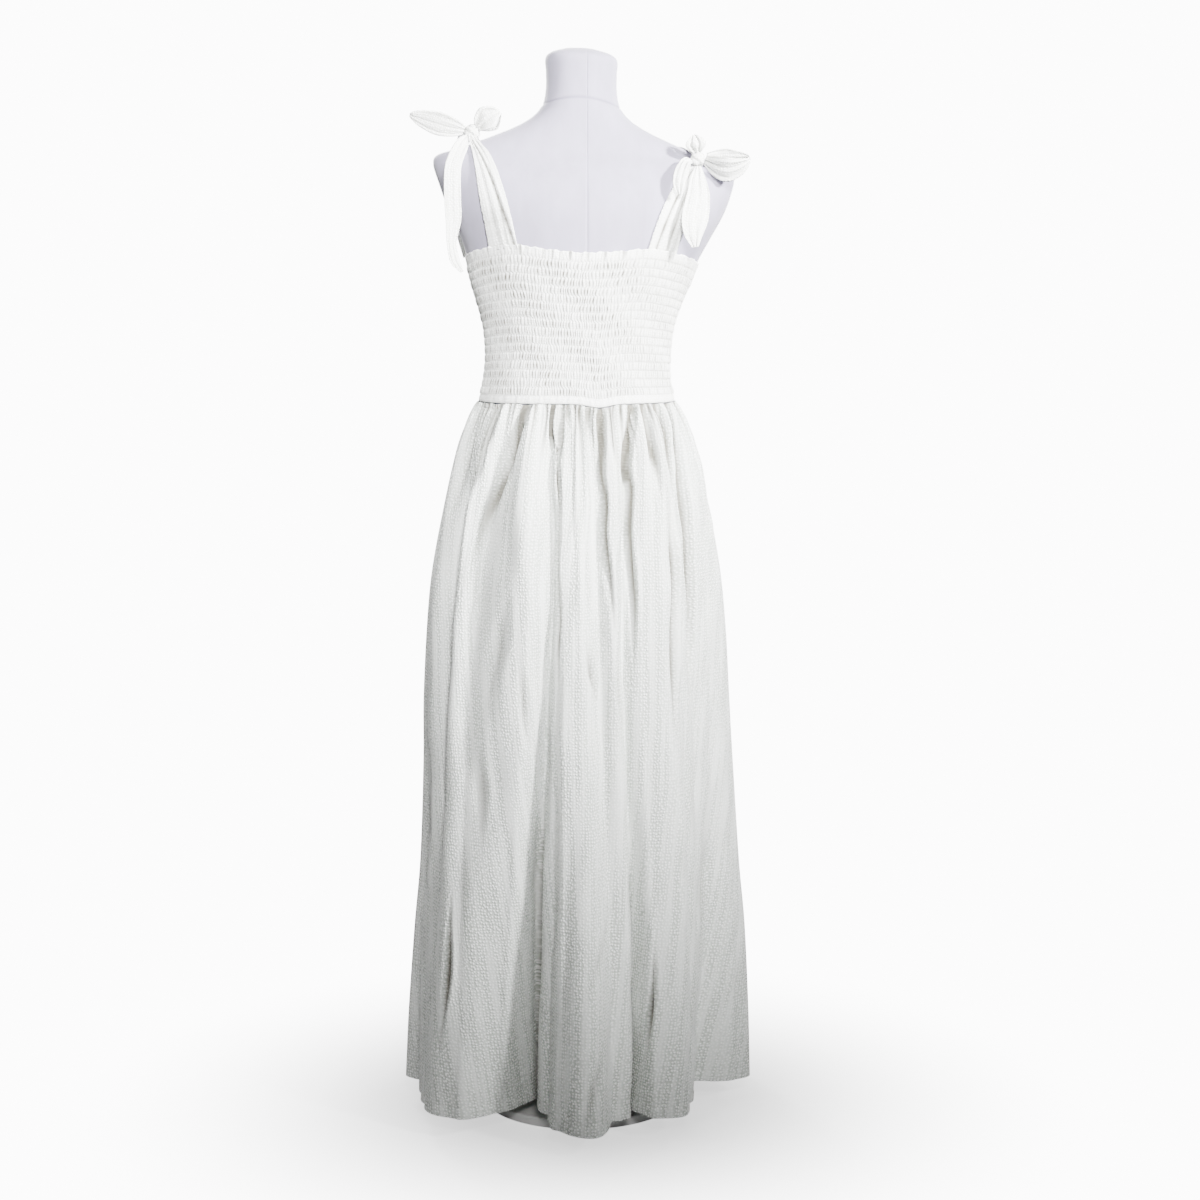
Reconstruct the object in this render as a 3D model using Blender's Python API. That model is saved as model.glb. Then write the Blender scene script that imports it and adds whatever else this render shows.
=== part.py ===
"""A long sundress with a shirred bodice, tie straps and a gathered skirt, on a limbless dress form.

Metres, +Z up. The back of the dress faces -Y, and +X is on the right of someone who looks at the back.
The origin is the centre of the base's underside. Angles round the body are in degrees, from the middle
of the back towards +X, or on the front half from the middle of the front towards -X.
"""

import math
from typing import NamedTuple

import bmesh
import bpy
from mathutils import Vector

# Driving heights above the floor
HEM_HEIGHT = 0.030
WAIST_HEIGHT = 0.9345
SHOULDER_HEIGHT = 1.200

# Cloth walls and the room between them
BODICE_EASE = 0.0018
BODICE_WALL = 0.0014
SKIRT_WALL = 0.0015
RIBBON_WALL = 0.0014
SEAM_GAP = 0.0003
# The side seams lie in the plane at this place from back to front
SIDE_SEAM_Y = 0.002
STRAP_EASE = 0.0009

# The form leans a little to the right above its waist, by this much height for each metre across
LEAN = 0.045
TORSO_SQUARENESS = 2.25
TORSO_COLUMNS = 30

# The pole and the base
POLE_RADIUS = 0.0125
BASE_RADIUS = 0.130
BASE_THICKNESS = 0.012
BASE_CHAMFER = 0.002
BASE_SEGMENTS = 48
POLE_SEGMENTS = 24

# Shirring: a heading above the first row of elastic, the rows, and a plain band above the waist seam
SHIRRING_ROWS = 17
HEADING = 0.012
WAIST_BAND = 0.010
PUCKER_HIGH = 0.0022
PUCKER_LOW = 0.0008
# How far the cloth stands off the plain wall on an elastic line and on the plain band
ELASTIC_RAISE = 0.0003
BAND_RAISE = 0.0009
BODICE_COLUMNS = 24
BODICE_INNER_ROWS = 11


# The waist seam dips a little right of the middle of the back
WAIST_DIP = 0.006
WAIST_DIP_ANGLE = math.radians(9)
WAIST_DIP_SPREAD = math.radians(9)

# Each waist gather of the skirt takes this many columns of the mesh
COLUMNS_PER_GATHER = 4
SKIRT_ROWS = (0.9342, 0.915, 0.880, 0.820, 0.740, 0.640, 0.500, 0.340, 0.180, HEM_HEIGHT)


class TopEdge(NamedTuple):
    """The height of the bodice's top edge at an angle from the middle of the back or the front."""

    angle_deg: float
    height: float


# The top edge is highest where the straps start
TOP_PEAK_DEG = 42
TOP_EDGE = (
    TopEdge(0, 1.1235),
    TopEdge(22, 1.1265),
    TopEdge(TOP_PEAK_DEG, 1.1310),
    TopEdge(62, 1.1250),
    TopEdge(90, 1.1130),
)


class Section(NamedTuple):
    """The torso's cross-section at a height."""

    height: float
    half_width: float
    half_depth: float
    shift_x: float
    shift_y: float


TORSO = (
    Section(0.640, 0.140, 0.096, -0.004, 0.004),
    Section(0.680, 0.150, 0.104, -0.004, 0.001),
    Section(0.750, 0.157, 0.108, -0.004, -0.002),
    Section(0.820, 0.149, 0.102, -0.005, -0.001),
    Section(0.880, 0.136, 0.097, -0.005, 0.001),
    Section(0.915, 0.127, 0.0935, -0.005, 0.002),
    Section(0.938, 0.1232, 0.0915, -0.005, 0.002),
    Section(0.965, 0.1178, 0.0895, -0.0045, 0.003),
    Section(0.994, 0.1165, 0.0890, -0.0033, 0.004),
    Section(1.030, 0.1202, 0.0940, -0.0028, 0.007),
    Section(1.064, 0.1304, 0.1035, -0.0022, 0.012),
    Section(1.090, 0.1400, 0.1110, -0.0004, 0.015),
    Section(1.113, 0.1470, 0.1135, 0.0018, 0.014),
    Section(1.150, 0.1630, 0.1105, 0.0050, 0.008),
    Section(1.179, 0.1775, 0.1020, 0.0058, 0.001),
    Section(1.209, 0.1882, 0.0860, 0.0056, -0.004),
    Section(1.230, 0.1925, 0.0670, 0.0045, -0.007),
    Section(1.2405, 0.1860, 0.0560, 0.0040, -0.008),
    Section(1.249, 0.1600, 0.0500, 0.0035, -0.008),
    Section(1.265, 0.1200, 0.0470, 0.0030, -0.007),
    Section(1.279, 0.0870, 0.0460, 0.0025, -0.006),
    Section(1.292, 0.0645, 0.0465, 0.0020, -0.005),
    Section(1.3065, 0.0515, 0.0470, 0.0016, -0.003),
    Section(1.325, 0.0465, 0.0475, 0.0015, 0.000),
    Section(1.350, 0.0452, 0.0475, 0.0015, 0.003),
    Section(1.3695, 0.0455, 0.0475, 0.0015, 0.005),
    Section(1.3765, 0.0370, 0.0390, 0.0010, 0.005),
    Section(1.3815, 0.0200, 0.0210, 0.0000, 0.005),
)
TORSO_TOP = 1.3830
# Rings between the sections, where the shoulder turns fast
SHOULDER_RINGS = (1.2355, 1.2447, 1.2570, 1.2720)


class SkirtSection(NamedTuple):
    """The skirt's mean outline at a height, before its folds."""

    height: float
    half_width: float
    back_depth: float
    front_depth: float
    shift_x: float
    squareness: float


SKIRT = (
    SkirtSection(0.030, 0.2310, 0.205, 0.200, 0.000, 2.00),
    SkirtSection(0.122, 0.2275, 0.200, 0.196, 0.000, 2.00),
    SkirtSection(0.241, 0.2200, 0.193, 0.190, 0.000, 2.00),
    SkirtSection(0.326, 0.2120, 0.187, 0.184, -0.001, 2.00),
    SkirtSection(0.465, 0.2045, 0.178, 0.176, -0.004, 2.00),
    SkirtSection(0.544, 0.2015, 0.172, 0.170, -0.006, 2.02),
    SkirtSection(0.635, 0.1965, 0.164, 0.162, -0.006, 2.04),
    SkirtSection(0.711, 0.1890, 0.155, 0.153, -0.006, 2.07),
    SkirtSection(0.793, 0.1735, 0.139, 0.138, -0.006, 2.12),
    SkirtSection(0.876, 0.1540, 0.119, 0.119, -0.006, 2.20),
    SkirtSection(0.912, 0.1405, 0.1070, 0.1075, -0.0055, 2.25),
    SkirtSection(0.9345, 0.1290, 0.0972, 0.0972, -0.005, 2.25),
)


class Fold(NamedTuple):
    """A line down the skirt, a crest or a valley: where it runs, and how far it stands off the mean."""

    name: str
    gathers: int
    waist_deg: float
    hip_deg: float
    hem_deg: float
    top_mm: float
    hip_mm: float
    knee_mm: float
    hem_mm: float


# The heights that the fold table's columns stand for
HIP_HEIGHT = 0.700
FOLD_HEIGHTS = (HEM_HEIGHT, 0.420, HIP_HEIGHT, 0.840, WAIST_HEIGHT)

BACK_FOLDS = (
    Fold("side seam left", 1, -90, -90, -90, 0, 0, 0, 5),
    Fold("side hollow", 1, -82, -80, -84, -2, -2, -6, -17),
    Fold("left rise", 1, -74, -70, -68, 2, 3, 0, -4),
    Fold("left crease", 1, -66, -60, -60, -5, -8, -2, 10),
    Fold("left lobe", 2, -57, -53, -50, 3, 4, 12, 27),
    Fold("hip crease", 1, -41, -47, -42, -9, -6, 6, 20),
    Fold("broad panel", 1, -29, -20, -35, 6, 8, 3, -26),
    Fold("deep recess", 1, -18.6, -10.5, -30, -7, -9, -30, -106),
    Fold("recess wall", 1, -14, -7.5, -17, 0, 0, -4, -30),
    Fold("centre lobe left", 1, -8, -3, -9, 2, 3, 9, 16),
    Fold("centre lobe", 2, 0, 2, 3, 3, 4, 13, 42),
    Fold("centre crease", 1, 13, 11, 13, -6, -5, -3, -18),
    Fold("centre shoulder", 1, 24, 17, 19, 4, 4, 2, -22),
    Fold("right valley", 1, 36, 23, 25.3, -8, -7, -14, -64),
    Fold("right lobe rise", 1, 44, 30, 29, 3, 3, 3, -12),
    Fold("right lobe", 1, 53, 38, 38, 5, 7, 10, -3),
    Fold("right lobe edge", 1, 62, 49, 50, -3, 0, -6, -38),
    Fold("right recess", 1, 70, 58, 66, -6, -7, -20, -74),
    Fold("recess end", 1, 78, 68, 79.5, 0, -4, -18, -84),
    Fold("side lip", 1, 84, 80, 84, 2, 0, -4, -25),
    Fold("side seam right", 0, 90, 90, 90, 0, 0, 0, -4),
)
FRONT_FOLDS = (
    Fold("side seam right", 1, -90, -90, -90, 0, 0, 0, -4),
    Fold("side hollow", 1, -81, -78, -80, -2, -4, -9, -20),
    Fold("outer lobe", 2, -72, -66, -63, 3, 4, 10, 20),
    Fold("outer crease", 1, -57, -52, -50, -6, -7, -12, -34),
    Fold("outer panel", 1, -49, -42, -42, 3, 4, 2, -8),
    Fold("first lobe", 2, -40, -33, -33, 4, 6, 12, 24),
    Fold("first valley", 1, -26, -20, -21, -7, -8, -18, -62),
    Fold("inner panel", 1, -18, -12, -13, 3, 3, 2, -8),
    Fold("centre lobe", 2, -8, -2, -2, 4, 6, 12, 34),
    Fold("centre crease", 1, 8, 9, 10, -6, -5, -4, -14),
    Fold("centre panel", 1, 17, 17, 17, 3, 4, 6, 10),
    Fold("second valley", 1, 27, 26, 27, -8, -8, -20, -70),
    Fold("second rise", 1, 36, 34, 34, 2, 3, 0, -10),
    Fold("second lobe", 2, 45, 43, 43, 5, 6, 12, 26),
    Fold("third valley", 1, 60, 58, 59, -6, -7, -13, -40),
    Fold("side panel", 1, 70, 69, 70, 3, 3, 4, 6),
    Fold("side hollow left", 1, 80, 80, 81, -2, -2, -5, -14),
    Fold("side seam left", 0, 90, 90, 90, 0, 0, 0, 5),
)

# Waist gathers: how far they stand, how fast they die out below the seam, and how uneven they are
GATHER_HEIGHT = 0.0042
GATHER_AT_SEAM = 0.0012
GATHER_RISE = 0.020
GATHER_FADE = 0.130
GATHER_UNEVENNESS = 0.45
# The gathers go flat over this many gathers beside a side seam
GATHER_CALM = 1.5
# The dip of the waist seam dies out over this height of the skirt
DIP_FADE = 0.060


class Knot(NamedTuple):
    """The knot of a shoulder bow."""

    centre: Vector
    radius: float


KNOTS = {
    "left": Knot(Vector((-0.1370, -0.0170, 1.2760)), 0.0105),
    "right": Knot(Vector((0.1486, -0.0570, 1.2400)), 0.0095),
}


class Strap(NamedTuple):
    """A tie strap, from the bodice's top edge to its knot."""

    side: str
    half: str
    base_x: float
    base_half_width: float
    low_half_width: float
    high_half_width: float
    top_x: float
    climb: float
    arrival: tuple


# climb is how far a strap goes up its own side of the shoulder: 1 is the ridge, and more is over it.
# arrival is the side of the knot, as seen from its centre, that the strap comes in at.
STRAPS = (
    Strap("left", "back", -0.0935, 0.0180, 0.0128, 0.0102, -0.1290, 0.86, (0.30, -0.86, -0.42)),
    Strap("left", "front", -0.0950, 0.0180, 0.0135, 0.0105, -0.1340, 0.86, (0.20, 0.88, -0.42)),
    Strap("right", "back", 0.1010, 0.0175, 0.0180, 0.0135, 0.1430, 0.66, (-0.35, -0.05, -0.93)),
    Strap("right", "front", 0.0950, 0.0180, 0.0135, 0.0105, 0.1440, 1.15, (-0.10, 0.88, 0.46)),
)
STRAP_END_HALF_WIDTH = 0.0040
STRAP_STATIONS = 12
STRAP_COLUMNS = 5
STRAP_FOLD = 0.0009
# The shares of its way up where a strap has its base, low, high and end widths
STRAP_WIDTH_PLACES = (0.0, 0.32, 0.70, 1.0)
STRAP_LIFT_START = 0.8
# How often the search for the shoulder's ridge halves its range
RIDGE_HALVINGS = 40
# The small steps that give the way out of the form
CLIMB_STEP = 0.01
SIDE_STEP = 0.001


class Loop(NamedTuple):
    """A loop of a bow: the way it points, the way it opens, and its size."""

    side: str
    place: str
    out: tuple
    opens: tuple
    length: float
    half_gap: float
    half_width: float
    droop: float


LOOPS = (
    Loop("left", "outer", (-0.955, -0.06, 0.27), (0.0, 1.0, 0.15), 0.069, 0.0080, 0.0130, 0.004),
    Loop("left", "inner", (0.62, -0.15, 0.76), (0.15, 1.0, 0.0), 0.025, 0.0070, 0.0130, 0.002),
    Loop("right", "outer", (0.985, -0.10, 0.06), (0.05, 0.85, 0.50), 0.051, 0.0090, 0.0175, 0.003),
    Loop("right", "upper", (-0.15, -0.05, 0.985), (0.10, 1.0, 0.10), 0.018, 0.0065, 0.0110, 0.000),
)


class LoopRow(NamedTuple):
    """A place along a loop's band, in shares of its length, half its gap and half its width."""

    length: float
    gap: float
    width: float


LOOP_PROFILE = (
    LoopRow(0.00, 0.30, 0.40),
    LoopRow(0.22, 0.75, 0.75),
    LoopRow(0.55, 1.00, 1.00),
    LoopRow(0.90, 0.60, 0.72),
    LoopRow(1.00, 0.00, 0.55),
    LoopRow(0.90, -0.60, 0.72),
    LoopRow(0.55, -1.00, 1.00),
    LoopRow(0.22, -0.75, 0.75),
    LoopRow(0.00, -0.30, 0.40),
)
LOOP_STATIONS = 13


class Stop(NamedTuple):
    """A point on the middle line of a hanging tie end, and half its width there."""

    x: float
    y: float
    z: float
    half_width: float


class TieEnd(NamedTuple):
    """A hanging end of a tie: the way it leaves its knot, the way its face looks, and its stops."""

    side: str
    place: str
    leaves: tuple
    faces: tuple
    stops: tuple


TIE_ENDS = (
    TieEnd(
        "left",
        "long",
        (-0.45, -0.72, -0.53),
        (0.10, -1.0, 0.0),
        (
            Stop(-0.1490, -0.0400, 1.2600, 0.0085),
            Stop(-0.1585, -0.0660, 1.2320, 0.0102),
            Stop(-0.1595, -0.0725, 1.1980, 0.0105),
            Stop(-0.1585, -0.0730, 1.1660, 0.0098),
            Stop(-0.1610, -0.0730, 1.1360, 0.0060),
            Stop(-0.1570, -0.0730, 1.1140, 0.0060),
            Stop(-0.1480, -0.0740, 1.1000, 0.0020),
        ),
    ),
    TieEnd(
        "left",
        "front",
        (-0.30, 0.75, 0.30),
        (0.0, 0.6, 0.8),
        (
            Stop(-0.1490, 0.0120, 1.2800, 0.0060),
            Stop(-0.1540, 0.0500, 1.2500, 0.0090),
            Stop(-0.1560, 0.0800, 1.2050, 0.0105),
            Stop(-0.1550, 0.0930, 1.1550, 0.0100),
            Stop(-0.1520, 0.0980, 1.1200, 0.0040),
        ),
    ),
    TieEnd(
        "right",
        "short",
        (-0.93, -0.30, 0.12),
        (-0.2, -1.0, 0.2),
        (
            Stop(0.1290, -0.0640, 1.2420, 0.0050),
            Stop(0.1240, -0.0880, 1.2250, 0.0070),
            Stop(0.1230, -0.0960, 1.2080, 0.0060),
            Stop(0.1250, -0.0980, 1.1950, 0.0025),
        ),
    ),
    TieEnd(
        "right",
        "long",
        (0.02, -0.52, -0.85),
        (0.0, -1.0, -0.1),
        (
            Stop(0.1475, -0.0720, 1.2150, 0.0085),
            Stop(0.1490, -0.0840, 1.1940, 0.0138),
            Stop(0.1447, -0.0930, 1.1680, 0.0172),
            Stop(0.1420, -0.0970, 1.1490, 0.0130),
            Stop(0.1440, -0.0990, 1.1300, 0.0040),
        ),
    ),
)
RIBBON_COLUMNS = 4
RIBBON_FOLD = 0.0008
RIBBON_ROOT_HALF_WIDTH = 0.0040
LOOP_FOLD = 0.0005
KNOT_SEGMENTS = 16
KNOT_RINGS = 8
# The wraps round a knot, how far they slant, their depth as a share of its radius, and the room round it
KNOT_WRAPS = 3
KNOT_SLANT = 5
KNOT_WRAP_DEPTH = 0.03
KNOT_EASE = 0.0005

WHITE_COTTON = (0.90, 0.90, 0.89, 1.0)
LILAC_JERSEY = (0.70, 0.69, 0.73, 1.0)
WHITE_PAINT = (0.86, 0.86, 0.86, 1.0)


def clear_scene():
    """Remove every object that the file holds."""
    for item in list(bpy.data.objects):
        bpy.data.objects.remove(item, do_unlink=True)


def make_material(name, colour, roughness, metallic=0.0):
    """Return a Principled material."""
    material = bpy.data.materials.new(name)
    material.use_nodes = True
    shader = material.node_tree.nodes["Principled BSDF"]
    shader.inputs["Base Color"].default_value = colour
    shader.inputs["Roughness"].default_value = roughness
    shader.inputs["Metallic"].default_value = metallic
    return material


def add_object(name, mesh_builder, material, smooth_angle=math.radians(50)):
    """Turn a closed bmesh into an object whose faces point out."""
    bmesh.ops.triangulate(mesh_builder, faces=mesh_builder.faces[:])
    bmesh.ops.recalc_face_normals(mesh_builder, faces=mesh_builder.faces[:])
    mesh = bpy.data.meshes.new(name)
    mesh_builder.to_mesh(mesh)
    mesh_builder.free()
    mesh.materials.append(material)
    mesh.shade_smooth()
    mesh.set_sharp_from_angle(angle=smooth_angle)
    item = bpy.data.objects.new(name, mesh)
    bpy.context.scene.collection.objects.link(item)
    return item


def hermite(start, start_slope, end, end_slope, share):
    """Return the value at a share of the way along a cubic with these ends and slopes."""
    square = share * share
    cube = square * share
    return (
        start * (2 * cube - 3 * square + 1)
        + start_slope * (cube - 2 * square + share)
        + end * (3 * square - 2 * cube)
        + end_slope * (cube - square)
    )


def smooth_value(places, values, place):
    """Return the value at a place, on a smooth curve through the values at rising places."""
    place = min(max(place, places[0]), places[-1])
    low = max(i for i in range(len(places) - 1) if places[i] <= place)
    high = low + 1
    before = max(low - 1, 0)
    after = min(high + 1, len(places) - 1)
    step = places[high] - places[low]
    start_slope = (values[high] - values[before]) / (places[high] - places[before]) * step
    end_slope = (values[after] - values[low]) / (places[after] - places[low]) * step
    return hermite(values[low], start_slope, values[high], end_slope, (place - places[low]) / step)


def smooth_row(table, height):
    """Return a table's row at any height, with each column on a smooth curve."""
    places = [row.height for row in table]
    columns = zip(*table)
    return type(table[0])(*(smooth_value(places, column, height) for column in columns))


def oval_radius(half_width, half_depth, angle, squareness):
    """Return the distance from an oval's middle to its edge at an angle from its depth axis."""
    across = (abs(math.sin(angle)) / half_width) ** squareness
    along = (abs(math.cos(angle)) / half_depth) ** squareness
    return (across + along) ** (-1 / squareness)


def lean(point):
    """Drop the right side and raise the left of a point above the waist, as the form leans."""
    share = (point.z - WAIST_HEIGHT) / (SHOULDER_HEIGHT - WAIST_HEIGHT)
    drop = LEAN * min(max(share, 0.0), 1.0) * point.x
    return Vector((point.x, point.y, point.z - drop))


def torso_point(angle, height, out=0.0):
    """Return a point round the torso, at an angle from the middle of the back, moved out from it."""
    section = smooth_row(TORSO, height)
    radius = oval_radius(section.half_width, section.half_depth, angle, TORSO_SQUARENESS) + out
    x = section.shift_x + radius * math.sin(angle)
    y = section.shift_y - radius * math.cos(angle)
    return lean(Vector((x, y, height)))


def add_ring(builder, points):
    """Add a ring or row of points and return its vertices."""
    return [builder.verts.new(point) for point in points]


def join_rows(builder, upper, lower, closed):
    """Fill the strip between two rows of vertices."""
    count = len(upper) if closed else len(upper) - 1
    for i in range(count):
        j = (i + 1) % len(upper)
        builder.faces.new((upper[i], lower[i], lower[j], upper[j]))


def build_torso(material):
    """Make the form's torso and neck, closed at the thighs and with a low dome on the neck."""
    builder = bmesh.new()
    rings = []
    for height in sorted([section.height for section in TORSO] + list(SHOULDER_RINGS)):
        points = []
        for column in range(TORSO_COLUMNS):
            points.append(torso_point(math.tau * column / TORSO_COLUMNS, height))
        rings.append(add_ring(builder, points))
    for upper, lower in zip(rings[1:], rings):
        join_rows(builder, upper, lower, closed=True)
    builder.faces.new(rings[0])
    last = TORSO[-1]
    top = builder.verts.new(lean(Vector((last.shift_x, last.shift_y, TORSO_TOP))))
    for i, corner in enumerate(rings[-1]):
        builder.faces.new((corner, rings[-1][(i + 1) % TORSO_COLUMNS], top))
    return add_object("form_torso", builder, material)


def build_stand(material):
    """Make the round base and the pole that carries the torso."""
    builder = bmesh.new()
    foot = bmesh.ops.create_cone(
        builder,
        cap_ends=True,
        segments=BASE_SEGMENTS,
        radius1=BASE_RADIUS,
        radius2=BASE_RADIUS,
        depth=BASE_THICKNESS,
    )
    bmesh.ops.translate(builder, verts=foot["verts"], vec=(0.0, 0.0, BASE_THICKNESS / 2))
    rim = [edge for edge in builder.edges if all(v.co.z > BASE_THICKNESS / 2 for v in edge.verts)]
    bmesh.ops.bevel(builder, geom=rim, offset=BASE_CHAMFER, segments=1, affect="EDGES")
    add_object("form_base", builder, material)
    bottom = BASE_THICKNESS + SEAM_GAP
    top = TORSO[0].height - SEAM_GAP
    builder = bmesh.new()
    tube = bmesh.ops.create_cone(
        builder,
        cap_ends=True,
        segments=POLE_SEGMENTS,
        radius1=POLE_RADIUS,
        radius2=POLE_RADIUS,
        depth=top - bottom,
    )
    bmesh.ops.translate(builder, verts=tube["verts"], vec=(0.0, 0.0, (top + bottom) / 2))
    add_object("form_pole", builder, material)


def zip_sides(builder, outer_side, inner_side):
    """Fill the side of a wall between two columns of vertices, which may have different counts."""
    i = 0
    j = 0
    last_outer = len(outer_side) - 1
    last_inner = len(inner_side) - 1
    while i < last_outer or j < last_inner:
        if j == last_inner or (i < last_outer and (i + 1) * last_inner <= (j + 1) * last_outer):
            builder.faces.new((outer_side[i], outer_side[i + 1], inner_side[j]))
            i += 1
        else:
            builder.faces.new((outer_side[i], inner_side[j + 1], inner_side[j]))
            j += 1


def build_wall(name, outer, inner, material):
    """Close two open sheets of points into a wall. Both have the same columns, and each has its own rows."""
    builder = bmesh.new()
    outer_rows = [add_ring(builder, row) for row in outer]
    inner_rows = [add_ring(builder, row) for row in inner]
    for rows in (outer_rows, inner_rows):
        for upper, lower in zip(rows, rows[1:]):
            join_rows(builder, upper, lower, closed=False)
    join_rows(builder, outer_rows[0], inner_rows[0], closed=False)
    join_rows(builder, outer_rows[-1], inner_rows[-1], closed=False)
    for edge in (0, -1):
        zip_sides(builder, [row[edge] for row in outer_rows], [row[edge] for row in inner_rows])
    return add_object(name, builder, material)


def off_seam(point, half):
    """Move a point half a seam gap away from the side seams' plane."""
    if half == "back":
        return point + Vector((0.0, -SEAM_GAP / 2, 0.0))
    return point + Vector((0.0, SEAM_GAP / 2, 0.0))


def body_angle(angle, half):
    """Return the angle round the body of an angle on one half of it."""
    return angle if half == "back" else angle + math.pi


def top_edge_height(angle):
    """Return the bodice's top edge: high where the straps start, lower at the middle and the sides."""
    places = [math.radians(row.angle_deg) for row in TOP_EDGE]
    return smooth_value(places, [row.height for row in TOP_EDGE], abs(angle))


def waist_edge_height(angle):
    """Return the waist seam's height: straight between the bodice's columns, with a dip at the back."""
    place = (angle / math.pi + 0.5) * BODICE_COLUMNS
    column = min(max(math.floor(place), 0), BODICE_COLUMNS - 1)
    heights = []
    for corner in (column, column + 1):
        corner_angle = (corner / BODICE_COLUMNS - 0.5) * math.pi
        dip = WAIST_DIP * math.exp(-(((corner_angle - WAIST_DIP_ANGLE) / WAIST_DIP_SPREAD) ** 2))
        heights.append(WAIST_HEIGHT - dip)
    return heights[0] + (heights[1] - heights[0]) * (place - column)


def bodice_rows():
    """Return each row of the bodice as its share of the way down and the height of its puckers."""
    drop = top_edge_height(0.0) - WAIST_HEIGHT
    pitch = (drop - HEADING - WAIST_BAND) / (SHIRRING_ROWS - 1)
    rows = [(0.0, "frill"), (HEADING * 0.5 / drop, "frill")]
    for line in range(SHIRRING_ROWS):
        rows.append(((HEADING + pitch * line) / drop, "elastic"))
        if line < SHIRRING_ROWS - 1:
            rows.append(((HEADING + pitch * (line + 0.5)) / drop, "pucker"))
    rows.append(((drop - WAIST_BAND * 0.5) / drop, "band"))
    rows.append((1.0, "seam"))
    return rows


def pucker_height(kind, row, column):
    """Return how far a bodice point stands off the plain wall: puckers stand like bricks in a wall."""
    if kind in ("elastic", "seam"):
        return ELASTIC_RAISE
    if kind == "band":
        return BAND_RAISE
    raised = (row // 2 + column) % 2 == 0
    return PUCKER_HIGH if raised else PUCKER_LOW


def side_seam_angle(half, height, out):
    """Return the angle from the middle of half the body to its side seam, off the torso."""
    section = smooth_row(TORSO, height)
    back_edge = math.acos((section.shift_y - SIDE_SEAM_Y) / (section.half_width + out))
    return back_edge if half == "back" else math.pi - back_edge


def bodice_point(half, column, share, out):
    """Return a point of half the bodice, in a column and at a share of the way down, off the torso."""
    position = 2 * column / BODICE_COLUMNS - 1
    angle = position * math.pi / 2
    top = top_edge_height(angle)
    bottom = waist_edge_height(angle) if half == "back" else WAIST_HEIGHT
    height = top + (bottom - top) * share
    edge = side_seam_angle(half, height, out)
    point = torso_point(body_angle(position * edge, half), height, out)
    if column in (0, BODICE_COLUMNS):
        point.y = SIDE_SEAM_Y
    return off_seam(point, half)


def build_bodice(half, material):
    """Make half of the shirred bodice, raised outside and plain inside."""
    columns = range(BODICE_COLUMNS + 1)
    outer = []
    for index, (share, kind) in enumerate(bodice_rows()):
        line = []
        for column in columns:
            out = BODICE_EASE + BODICE_WALL + pucker_height(kind, index, column)
            line.append(bodice_point(half, column, share, out))
        outer.append(line)
    inner = []
    for row in range(BODICE_INNER_ROWS):
        share = row / (BODICE_INNER_ROWS - 1)
        inner.append([bodice_point(half, column, share, BODICE_EASE) for column in columns])
    build_wall(f"bodice_{half}", outer, inner, material)


def uneven(index, seed):
    """Return a fixed uneven number from -1 to 1 for a gather."""
    return math.sin(index * 2.399 + seed) * math.cos(index * 1.117 + seed * 2.3)


def gather_wave(place, height, seed):
    """Return how far a waist gather stands off at a place counted in gathers and a height."""
    index = math.floor(place + 0.5)
    below = max(WAIST_HEIGHT - height, 0.0)
    stand = GATHER_HEIGHT * (1 + GATHER_UNEVENNESS * uneven(index, seed))
    fade = GATHER_FADE * (1 + GATHER_UNEVENNESS * uneven(index, seed + 5.0))
    rise = 1 - math.exp(-below / GATHER_RISE)
    size = (GATHER_AT_SEAM + stand * rise) * math.exp(-below / fade)
    return size * math.cos(math.tau * place)


def fold_place(folds, place):
    """Return the two fold lines round a place counted in gathers, and the share of the way between them."""
    start = 0
    for left, right in zip(folds, folds[1:]):
        if place <= start + left.gathers:
            return left, right, (place - start) / left.gathers
        start += left.gathers
    return folds[-2], folds[-1], 1.0


def fold_angle(fold, height):
    """Return the angle of a fold line at a height."""
    places = (HEM_HEIGHT, HIP_HEIGHT, WAIST_HEIGHT)
    return math.radians(smooth_value(places, (fold.hem_deg, fold.hip_deg, fold.waist_deg), height))


def fold_offset(fold, height):
    """Return how far a fold line stands off the skirt's mean outline at a height."""
    values = (fold.hem_mm, fold.knee_mm, fold.hip_mm, fold.top_mm, 0.0)
    return smooth_value(FOLD_HEIGHTS, values, height) / 1000


def skirt_point(half, folds, place, height):
    """Return a point on the skirt's outside, at a place counted in gathers from its left seam."""
    left, right, share = fold_place(folds, place)
    angle = fold_angle(left, height) * (1 - share) + fold_angle(right, height) * share
    ease = (1 - math.cos(math.pi * share)) / 2
    offset = fold_offset(left, height) * (1 - ease) + fold_offset(right, height) * ease
    section = smooth_row(SKIRT, height)
    depth = section.back_depth if half == "back" else section.front_depth
    radius = oval_radius(section.half_width, depth, angle, section.squareness) + offset
    total = sum(fold.gathers for fold in folds)
    at_seam = min(place, total - place)
    calm = min(at_seam / GATHER_CALM, 1.0)
    radius += calm * gather_wave(place, height, 1.0 if half == "back" else 4.0)
    turned = body_angle(angle, half)
    x = section.shift_x + radius * math.sin(turned)
    y = SIDE_SEAM_Y - radius * math.cos(turned)
    near_waist = max(0.0, 1 - (WAIST_HEIGHT - height) / DIP_FADE)
    drop = (WAIST_HEIGHT - waist_edge_height(angle)) * near_waist if half == "back" else 0.0
    return off_seam(Vector((x, y, height - drop)), half)


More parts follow.
